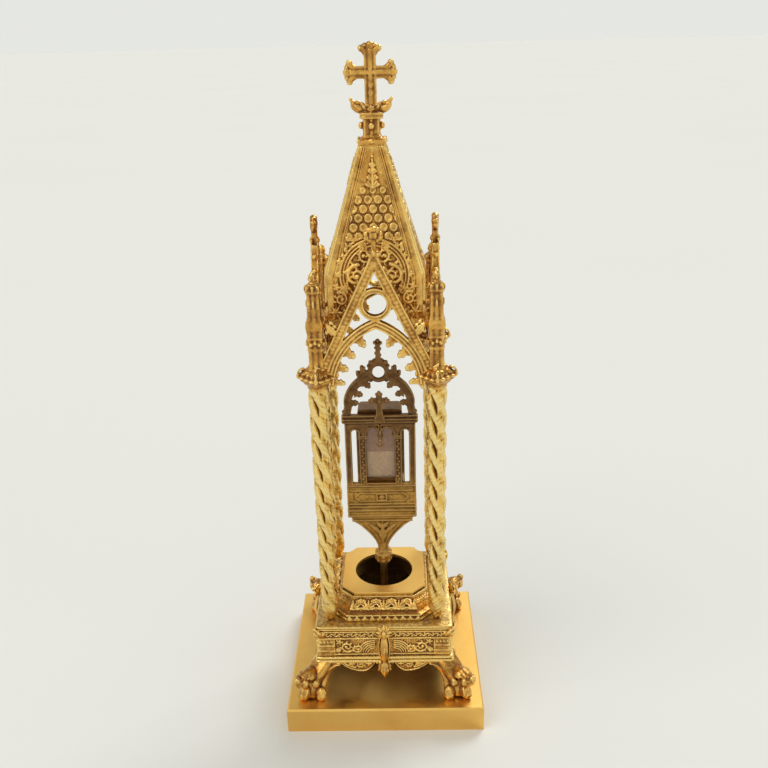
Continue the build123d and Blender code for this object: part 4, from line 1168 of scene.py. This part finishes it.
def plinth_outline(half, flat, count):
    """Points and their outward directions round a square with cut corners."""
    corners = [(-flat, -half), (flat, -half), (half, -flat), (half, flat), (flat, half), (-flat, half),
               (-half, flat), (-half, -flat)]
    points, out, local = [], [], []
    for i, (a, b) in enumerate(zip(corners, corners[1:] + corners[:1])):
        a, b = np.array(a, float), np.array(b, float)
        steps = count if i % 2 == 0 else count // 3
        t = np.linspace(0, 1, steps, endpoint=False)[:, None]
        points.append(a * (1 - t) + b * t)
        normal = np.array(((b - a)[1], -(b - a)[0]))
        out.append(np.repeat((normal / np.linalg.norm(normal))[None], steps, 0))
        reach = (t[:, 0] - 0.5) * np.linalg.norm(b - a)
        local.append(np.where(i % 2 == 0, reach, 1000.0 + reach))
    return np.vstack(points), np.vstack(out), np.concatenate(local)


def make_upper_plinth():
    levels = [(32.0, 20.0, 57.0), (32.0, 20.0, 60.6), (30.9, 19.4, 60.9), (30.2, 19.2, 61.2), (28.2, 18.2, 63.4),
              (24.6, 16.8, 66.2), (23.9, 16.5, 67.5)]
    heights = np.array([level[2] for level in levels])
    run = np.concatenate(([0], np.cumsum([math.dist((a[0], a[2]), (b[0], b[2]))
                                          for a, b in zip(levels, levels[1:])])))
    rows = 56
    along = np.linspace(0, run[-1], rows)
    half = np.interp(along, run, [level[0] for level in levels])
    flat = np.interp(along, run, [level[1] for level in levels])
    z = np.interp(along, run, heights)
    tilt = np.interp(along, (0, run[1], run[1] + 1.0, run[-1]), (0, 0, 0.7, 0.7))
    outlines = [plinth_outline(h, f, 132) for h, f in zip(half, flat)]
    u = np.array([o[2] for o in outlines])
    v = np.repeat(along[:, None], u.shape[1], 1)
    on_side = u < 500
    r = Relief(u, v)
    # zigzag row: bright triangles that point up between darker ones
    saw = np.abs(((u / 4.2) % 1.0) - 0.5) * 2
    tooth = (v > 0.6) & (v < 3.3) & (saw * 2.7 < (3.3 - v)) & on_side
    r.raise_to(np.where(tooth, 1.5 - 0.4 * saw, 0))
    for level, thick, tall in ((0.35, 0.35, 0.5), (3.35, 0.35, 0.6), (run[-1] - 0.5, 0.5, 0.6)):
        r.raise_to(tall * np.sqrt(np.clip(1 - ((v - level) / thick) ** 2, 0, 1)))
    middle = (run[2] + run[-1]) / 2
    for k in range(-2, 3):
        r.petals((k * 8.4, middle - 2.6), 7, 4.8, 1.05, 1.5, 10, 160)
        r.petals((k * 8.4 + 4.2, middle + 2.9), 5, 2.9, 0.85, 1.3, 200, 140)
        r.stroke([(k * 8.4 + 4.2, middle - 2.4)], 1.1, 0.8)
    for k in range(-3, 4):
        r.petals((1000.0 + k * 2.8, middle), 5, 2.0, 0.5, 0.3, 10, 160)
    r.h = r.h + spatter(u, v, 1.1, 0.05) * (r.h < 0.3) + spatter(u, v, 3.2, 0.04)
    rings = []
    for i, (points, out, _) in enumerate(outlines):
        reach = points + out * (r.h[i] * math.cos(tilt[i]))[:, None]
        rings.append(np.column_stack((reach, z[i] + r.h[i] * math.sin(tilt[i]))))
    inner = []
    for radius, level in ((16.9, 67.5), (16.9, 65.6), (18.5, 65.5), (18.5, 57.0)):
        a = np.arctan2(rings[0][:, 1], rings[0][:, 0])
        inner.append(np.column_stack((radius * np.cos(a), radius * np.sin(a), np.full(len(a), level))))
    obj = plain("upper_plinth_detail", loft(rings + inner, closed=True))
    # inner faces get the near-black painted shade
    paint_inner_shade(obj, 18.8)
    return obj


four(make_side_panel(), "side_panel", SIDES, "gilt_casting")
four(make_leaf_bracket(), "leaf_bracket", SIDES, "gilt_casting")
four(shift_darkness(make_foot(), 0.13), "foot", CORNERS, "gilt_casting")
piece(make_corner_posts(), "stand", "gilt_casting", "corner_posts")
piece(make_lower_moulding(), "stand", "gilt_casting", "lower_moulding")
piece(make_cornice(), "stand", "gilt_casting", "cornice")
piece(make_upper_plinth(), "stand", "gilt_casting", "upper_plinth")


# ---- Relic holder ----------------------------------------------------------------------

PLATE_Y, PLATE_HALF_DEPTH = -3.4, 1.15


def slab(points, wide, deep=PLATE_HALF_DEPTH, power=0.3, y=PLATE_Y):
    """A flat bar of the holder along (x, z) points."""
    path = np.array([(x, y, z) for x, z in points], float)
    return tube(path, wide, deep, ACROSS, 10, power)


def make_crest():
    """Pierced arch of flat bars with cusps, a ring, stepped crockets and a leafy stalk."""
    outer = smooth_path([(17.4, 0, 169.4), (16.7, 0, 172.0), (16.6, 0, 178.0), (13.6, 0, 184.2), (9.2, 0, 188.4),
                         (4.4, 0, 192.0)], 40)[:, (0, 2)]
    parts = [slab(outer, np.interp(np.linspace(0, 1, 40), (0, 0.12, 0.3, 1), (2.4, 1.8, 2.1, 2.5)), power=0.2)]
    parts.append(slab(outer + (1.5, 0.6), 0.35, 0.3, 1.0, PLATE_Y - 1.1))
    for (x, z), (tx, tz) in (((15.4, 175.4), (11.9, 175.6)), ((12.6, 181.2), (9.5, 180.2)),
                             ((7.4, 187.0), (5.2, 184.8))):
        parts.append(slab(line((x, z), (tx, tz), 6), (2.9, 2.2, 1.5, 1.1, 0.95, 1.0)))
        parts.append(ball((tx, PLATE_Y, tz), (1.25, 1.15, 1.25), 10, petals=5))
        out = np.array((tx - x, tz - z)) / math.dist((x, z), (tx, tz))
        for s in (-1, 1):
            side = np.array((-out[1], out[0])) * s * 1.1
            parts.append(ball((tx - out[0] * 0.9 + side[0], PLATE_Y, tz - out[1] * 0.9 + side[1]),
                              (0.85, 1.05, 0.85), 8))
    # stepped crocket on the shoulder, leaves at the foot, leafy block round the ring
    for a, b, wide in (((6.8, 191.4), (9.0, 193.8), 2.1), ((8.2, 192.6), (8.2, 195.9), 1.5),
                       ((9.6, 190.6), (10.6, 192.6), 1.5), ((4.5, 189.6), (4.5, 196.6), 1.0),
                       ((3.5, 196.9), (2.4, 198.8), 1.4)):
        parts.append(slab((a, b), wide, power=0.2))
    for x, z, r in ((8.6, 196.0, 1.1), (10.9, 193.0, 1.1), (19.0, 170.4, 1.3), (18.2, 172.4, 1.0), (4.9, 196.4, 1.2),
                    (4.1, 198.5, 1.15), (2.0, 199.4, 1.2), (4.2, 188.4, 1.2)):
        parts.append(ball((x, PLATE_Y, z), (r, 1.15, r), 10, petals=4))
    whole = [mirrored(join(*parts)), ring((0, 193.0), 4.5, 1.4, PLATE_Y, PLATE_HALF_DEPTH)]
    whole.append(slab(line((0, 197.4), (0, 209.0), 10), np.interp(np.linspace(0, 1, 10), (0, 0.3, 0.7, 1),
                                                                 (2.9, 1.4, 1.2, 1.4))))
    for x, z, r in ((0, 210.2, 1.3), (-1.5, 209.2, 1.1), (1.5, 209.0, 1.1), (-1.1, 206.4, 0.9), (1.1, 205.8, 0.9),
                    (1.1, 202.4, 0.9), (-1.1, 203.4, 0.9)):
        whole.append(ball((x, PLATE_Y, z), (r, r * 0.95, r), 10, petals=4))
    verts, faces = join(*whole)
    verts[:, 2] = np.maximum(verts[:, 2], 168.9)
    return cast("crest_arch_detail", (verts, faces), 0.26, 1, 0.10)


def make_small_cross():
    y = -6.1
    parts = [slab(((0, 164.8), (0, 168.6), (0, 171.4), (0, 180.8)), (2.6, 2.2, 1.7, 1.6), 0.6, 0.3, y),
             slab(((-3.4, 177.8), (3.4, 177.8)), 1.6, 0.6, 0.3, y)]
    for cx, cz in ((0, 181.4), (-3.8, 177.8), (3.8, 177.8)):
        for a in range(0, 360, 90):
            d = np.array((math.cos(math.radians(a)), 0, math.sin(math.radians(a))))
            parts.append(ball(np.array((cx, y, cz)) + d * 1.15, (1.0, 0.65, 1.0), 8))
        parts.append(ball((cx, y - 0.2, cz), (1.3, 0.7, 1.3), 10))
    parts.append(ball((0, y - 0.3, 177.8), (1.6, 0.8, 1.6), 12, petals=4))
    for side in (-1, 1):
        parts.append(slab(((side * 2.5, 164.9), (side * 2.2, 168.5)), 0.5, 0.8, 1.0, y))
    return cast("small_cross_detail", join(*parts), 0.22, 1, 0.06)


def make_holder_frame():
    """Posts, beaded strips, twin-arched window head with its pendant, and the top rail."""
    low, top = 126.5, 164.4
    parts = []
    for side in (-1, 1):
        parts.append(slab(((side * 17.3, low), (side * 17.3, top)), 1.8, power=0.2))
        parts.append(slab(((side * 18.5, low), (side * 18.5, top)), 0.35, 0.4, 1.0, -4.7))
        parts.append(slab(((side * 16.0, low), (side * 16.0, 160.5)), 0.3, 0.35, 1.0, -4.6))
        parts.append(slab(((side * 9.55, low), (side * 9.55, top)), 1.85, power=0.2))
        for x in (8.1, 11.1):
            parts.append(slab(((side * x, low), (side * x, 158.0)), 0.32, 0.4, 1.0, -4.6))
        for k in range(17):
            z = 128.4 + k * 1.8
            parts.append(ball((side * (9.55 + (0.35 if k % 2 else -0.35)), -4.6, z), (0.62, 0.5, 0.75), 8))
        # capital bands where the little arches spring
        for z in (155.2, 156.4):
            parts.append(slab(((side * 7.4, z), (side * 11.8, z)), 0.4, 0.5, 1.0, -4.9))
        parts.append(slab(((side * 7.4, 162.6), (side * 19.0, 162.6)), 2.0, power=0.2))
        # slot head: a small arch outlined in brass
        head = arc((side * 13.5, 158.2), 2.35, 0, 180, 20, -4.75)
        parts.append(tube(head, 0.42, 0.5, ACROSS, 8))
        parts.append(slab(arc((side * 13.5, 158.2), 3.0, 0, 180, 18)[:, (0, 2)], 0.95))
        for s in (-1, 1):
            parts.append(ball((side * 13.5 + s * 2.3, -4.6, 157.4), (0.55, 0.55, 0.7), 8))
        # half of the twin arch
        crown = arc((side * 3.9, 157.8), 3.75, -10, 190, 24, PLATE_Y)
        parts.append(tube(crown, 0.85, 1.1, ACROSS, 10, 0.5))
        parts.append(tube(crown - (0, 1.15, 0), 0.38, 0.45, ACROSS, 8))
        parts.append(ball((side * 3.9 + 3.1, PLATE_Y, 156.6), (0.8, 0.9, 0.9), 8))
        parts.append(ball((side * 3.9 - 3.1, PLATE_Y, 156.6), (0.8, 0.9, 0.9), 8))
        parts.append(slab(((side * 0.4, 163.4), (side * 7.6, 163.4)), 1.3, power=0.3))
        parts.append(slab(((side * 7.0, 160.6), (side * 8.0, 163.0)), 1.2))
    # pendant between the arches: colonnette, leaf boss and drop
    parts.append(slab(((0, 162.6), (0, 157.0)), 0.95, 1.0, 0.6))
    parts.append(slab(((-0.55, 162.6), (-0.55, 156.0)), 0.3, 0.4, 1.0, -4.6))
    parts.append(slab(((0.55, 162.6), (0.55, 156.0)), 0.3, 0.4, 1.0, -4.6))
    for z, r in ((155.8, 1.5), (153.6, 1.2), (151.4, 1.25), (149.6, 0.9)):
        parts.append(ball((0, PLATE_Y - 0.4, z), (r, 0.95, r * 0.85), 10, petals=6))
    for side in (-1, 1):
        parts.append(tube(arc((side * 1.1, 150.9), 0.9, 0, 320, 16, -4.2), 0.32, None, ACROSS, 6))
    # sill and bottom corners of the window, then the rail
    parts.append(slab(((-19.0, 127.0), (19.0, 127.0)), 0.7, power=0.3))
    parts.append(slab(((-7.6, 127.6), (7.6, 127.6)), 0.4, 0.5, 1.0, -4.6))
    for z, half, y in ((164.6, 19.6, -4.9), (166.3, 20.0, -5.2), (168.4, 20.2, -5.2)):
        parts.append(slab(((-half, z), (half, z)), 0.62, 0.6, 1.0, y))
    parts.append(box((-20.1, 20.1), (-5.1, -2.25), (164.2, 168.9)))
    for side in (-1, 1):
        parts.append(slab(((side * 20.0, 164.6), (side * 20.0, 168.6)), 0.5, 1.4, 0.5, -3.7))
    return cast("holder_frame_detail", join(*parts), 0.26, 1, 0.08)


def make_console():
    """Box with ruled lines and a pointed sunk panel over a bracket with hollow sides."""
    y_front = -4.35
    parts = [box((-18.9, 18.9), (y_front, -2.2), (106.0, 126.6)), box((-11.0, 11.0), (-3.0, 9.5), (106.0, 126.6)),
             box((-17.0, 17.0), (-4.0, 4.2), (103.2, 106.4))]
    shoulder = np.array([(x, y, z) for x in (-18.9, 18.9)
                         for y, z in ((-3.0, 106.0), (9.5, 106.0), (9.5, 119.6), (-3.0, 126.4))])
    for z in (114.6, 110.4, 107.0):
        for side in (-1, 1):
            parts.append(tube(line((side * 18.9, y_front, z), (side * 18.9, 9.5, z)), 0.5, None, UP, 8))
        parts.append(tube(line((-18.9, 9.5, z), (18.9, 9.5, z)), 0.5, None, UP, 8))
    parts.append((shoulder, [(0, 1, 2, 3), (7, 6, 5, 4), (0, 4, 5, 1), (1, 5, 6, 2), (2, 6, 7, 3), (3, 7, 4, 0)]))
    for z, half, thick in ((125.9, 19.0, 0.5), (122.9, 17.4, 0.45), (114.6, 18.6, 0.55), (112.7, 18.6, 0.4),
                           (110.4, 18.9, 0.6), (107.0, 18.8, 0.5)):
        parts.append(slab(((-half, z), (half, z)), thick, 0.5, 1.0, y_front - 0.1))
    for side in (-1, 1):
        # frame of the panel: pointed at its outer ends
        for y in (y_front - 0.1,):
            points = [(0, 121.3), (side * 12.0, 121.3), (side * 14.6, 118.8), (side * 12.0, 116.4), (0, 116.4)]
            for a, b in zip(points, points[1:]):
                parts.append(slab((a, b), 0.38, 0.42, 1.0, y))
        parts.append(box(sorted((side * 16.0, side * 18.2)), (y_front - 0.45, y_front + 0.5), (116.0, 121.8)))
        for z in (120.4, 118.8, 117.2):
            parts.append(ball((side * 17.1, y_front - 0.4, z), (0.7, 0.4, 0.55), 8))
        parts.append(slab(((side * 18.7, 106.4), (side * 18.7, 126.2)), 0.5, 0.5, 1.0, y_front))
        for x in (5.4, 8.4):
            parts.append(ball((side * x, y_front - 0.05, 118.8), (0.95, 0.45, 0.8), 8, petals=4))
        for z in (110.4, 122.9):
            parts.append(slab(((side * 18.9, z), (side * 18.95, z + 0.01)), 0.5, 0.5, 1.0, 2.0))
    for a, b in (((-2.6, 120.9), (2.6, 120.9)), ((-2.6, 116.8), (2.6, 116.8)), ((-2.6, 116.8), (-2.6, 120.9)),
                 ((2.6, 116.8), (2.6, 120.9))):
        parts.append(slab((a, b), 0.4, 0.5, 1.0, y_front - 0.2))
    parts.append(ball((0, y_front - 0.2, 118.8), (1.4, 0.6, 1.2), 12, petals=4))
    for z, half in ((105.6, 17.1), (103.7, 17.0)):
        parts.append(slab(((-half, z), (half, z)), 0.5, 0.45, 1.0, -4.0))
    heights = np.array((82.6, 85.0, 87.5, 90.3, 93.0, 95.3, 98.0, 100.5, 102.4, 103.6))
    halves = np.array((3.0, 2.75, 3.0, 4.1, 5.8, 7.5, 10.0, 12.4, 15.0, 16.8))
    z = np.linspace(heights[0], heights[-1], 40)
    half = np.interp(z, heights, halves)
    cos, sin = section(40, 0.35)
    rings = [np.stack((h * cos, (2.6 + 0.06 * h) * sin, np.full(40, level)), -1) for h, level in zip(half, z)]
    parts.append(loft(rings))
    for side in (-1, 1):
        edge = np.stack((side * (half - 0.35), np.full(40, -3.0), z), -1)
        parts.append(tube(edge[3:], 0.5, 0.6, (0, -1, 0), 8))
        parts.append(tube(edge[3:] + (0, 6.0, 0), 0.5, 0.6, (0, -1, 0), 8))
        for y in (-3.3, 3.3):
            up = (0, math.copysign(1, y), 0)
            parts.append(leaf((0, y, 90.5), (side * 2.4, y, 97.0), 1.1, up, 0.5, 0.5))
            parts.append(leaf((side * 0.6, y, 94.5), (side * 7.6, y, 101.4), 1.5, up, 0.5, 0.5))
            parts.append(leaf((side * 0.4, y, 98.6), (side * 3.4, y, 102.6), 1.2, up, 0.5, 0.5))
    for y in (-3.3, 3.3):
        parts.append(leaf((0, y, 88.5), (0, y, 102.6), 1.3, (0, math.copysign(1, y), 0), 0.5, 0.5, 4))
    return cast("console_detail", join(*parts), 0.28, 1, 0.10)


def make_console_knob():
    """Leafy ball between the stem and the bracket."""
    parts = [ball((0, 0, 78.9), (4.9, 4.9, 4.6), 20, petals=8, groove=0.05)]
    for level, count, reach, size in ((76.8, 8, 3.9, 1.5), (80.4, 8, 3.9, 1.7), (82.4, 6, 2.6, 1.3)):
        for k in range(count):
            a = 360 * (k + (0.5 if level == 80.4 else 0)) / count
            parts.append(turned(ball((reach, 0, level), (size * 0.7, size, size), 10), a))
    parts.append(tube(line((0, 0, 74.4), (0, 0, 76), 4), (3.2, 3.4, 3.2, 3.0), None, ACROSS, 20))
    verts, faces = join(*parts)
    verts[:, 2] = np.maximum(verts[:, 2], 74.35)
    return cast("console_knob_detail", (verts, faces), 0.28, 2)


piece(shift_darkness(make_crest(), 0.12), "holder", "dark_bronze", "crest_arch")
piece(make_small_cross(), "holder", "dark_bronze", "small_cross")
piece(make_holder_frame(), "holder", "dark_bronze", "holder_frame")
piece(make_console(), "holder", "dark_bronze", "console")
piece(make_console_knob(), "holder", "dark_bronze", "console_knob")


# ---- Stage, light and camera -----------------------------------------------------------

FLOOR_REACH = 60000.0
scene = bpy.context.scene
scene.view_settings.view_transform = "Standard"


def make_floor():
    angle = np.arange(64) * TAU / 64
    disc = np.stack((FLOOR_REACH * np.cos(angle), FLOOR_REACH * np.sin(angle), 0 * angle), -1)
    floor = mesh_object("floor", (disc, [tuple(range(64))]))
    g = Graph("pale_paper")
    tone = g.remap(g.noise(900.0, 2.0), 0.3, 0.7, 0.0, 1.0)
    g.put(g.shader.inputs["Base Color"], g.mix(tone, (0.80, 0.80, 0.775), (0.785, 0.785, 0.76)))
    g.put(g.shader.inputs["Roughness"], 0.9)
    g.put(g.shader.inputs["Specular IOR Level"], 0.0)
    floor.data.materials.append(g.material)


def make_world():
    """Pale along the horizon, patchy walls above it, dimmest overhead."""
    world = bpy.data.worlds.new("studio")
    scene.world = world
    world.use_nodes = True
    g = Graph.__new__(Graph)
    g.tree = world.node_tree
    g.place = g.new("ShaderNodeTexCoord").outputs["Generated"]
    split = g.new("ShaderNodeSeparateXYZ")
    g.put(split.inputs[0], g.place)
    patches = g.new("ShaderNodeTexNoise")
    g.put(patches.inputs["Vector"], g.place)
    g.put(patches.inputs["Scale"], 2.1)
    g.put(patches.inputs["Detail"], 1.0)
    walls = g.mix(g.remap(patches.outputs["Fac"], 0.42, 0.58), (0.14, 0.135, 0.125), (0.95, 0.95, 0.90))
    bright = g.mix(g.remap(split.outputs["X"], -0.20, 0.22), (0.55, 0.53, 0.50), (1.45, 1.5, 1.45))
    walls = g.mix(1.0, walls, bright, "MULTIPLY")
    colour = g.mix(g.remap(split.outputs["Z"], 0.74, 0.98), walls, (0.5, 0.49, 0.47))
    colour = g.mix(g.remap(split.outputs["Z"], 0.34, 0.52), (0.79, 0.80, 0.76), colour)
    g.put(g.tree.nodes["Background"].inputs[0], colour)


def make_light(name, kind, place, power, colour, **settings):
    light = bpy.data.lights.new(name, kind)
    light.energy = power
    light.color = colour
    for key, value in settings.items():
        setattr(light, key, value)
    obj = bpy.data.objects.new(name, light)
    scene.collection.objects.link(obj)
    obj.location = place
    obj.rotation_euler = (-Vector(place)).to_track_quat("-Z", "Y").to_euler()


def make_camera():
    place = np.array((11.4, -424.2, 355.1)) * MM
    yaw, pitch, roll = (math.radians(a) for a in (1.17, 21.88, -1.46))
    right = np.array((math.cos(yaw), math.sin(yaw), 0))
    ahead = np.array((-math.sin(yaw), math.cos(yaw), 0))
    forward = math.cos(pitch) * ahead - math.sin(pitch) * UP
    above = math.sin(pitch) * ahead + math.cos(pitch) * UP
    side = math.cos(roll) * right + math.sin(roll) * above
    up = -math.sin(roll) * right + math.cos(roll) * above
    data = bpy.data.cameras.new("camera")
    data.sensor_width = 36.0
    data.lens = 861.0 / 768 * 36.0
    data.clip_start = 0.01
    camera = bpy.data.objects.new("camera", data)
    scene.collection.objects.link(camera)
    camera.matrix_world = Matrix([[side[i], up[i], -forward[i], place[i]] for i in range(3)] + [[0, 0, 0, 1]])
    scene.camera = camera


make_floor()
make_world()
make_light("window", "SUN", (0.55, 0.75, 1.05), 1.12, (0.95, 0.97, 1.0), angle=math.radians(26))
make_light("room", "SUN", (-0.8, -0.55, 1.2), 0.78, (1.0, 0.97, 0.93), angle=math.radians(40))
make_camera()
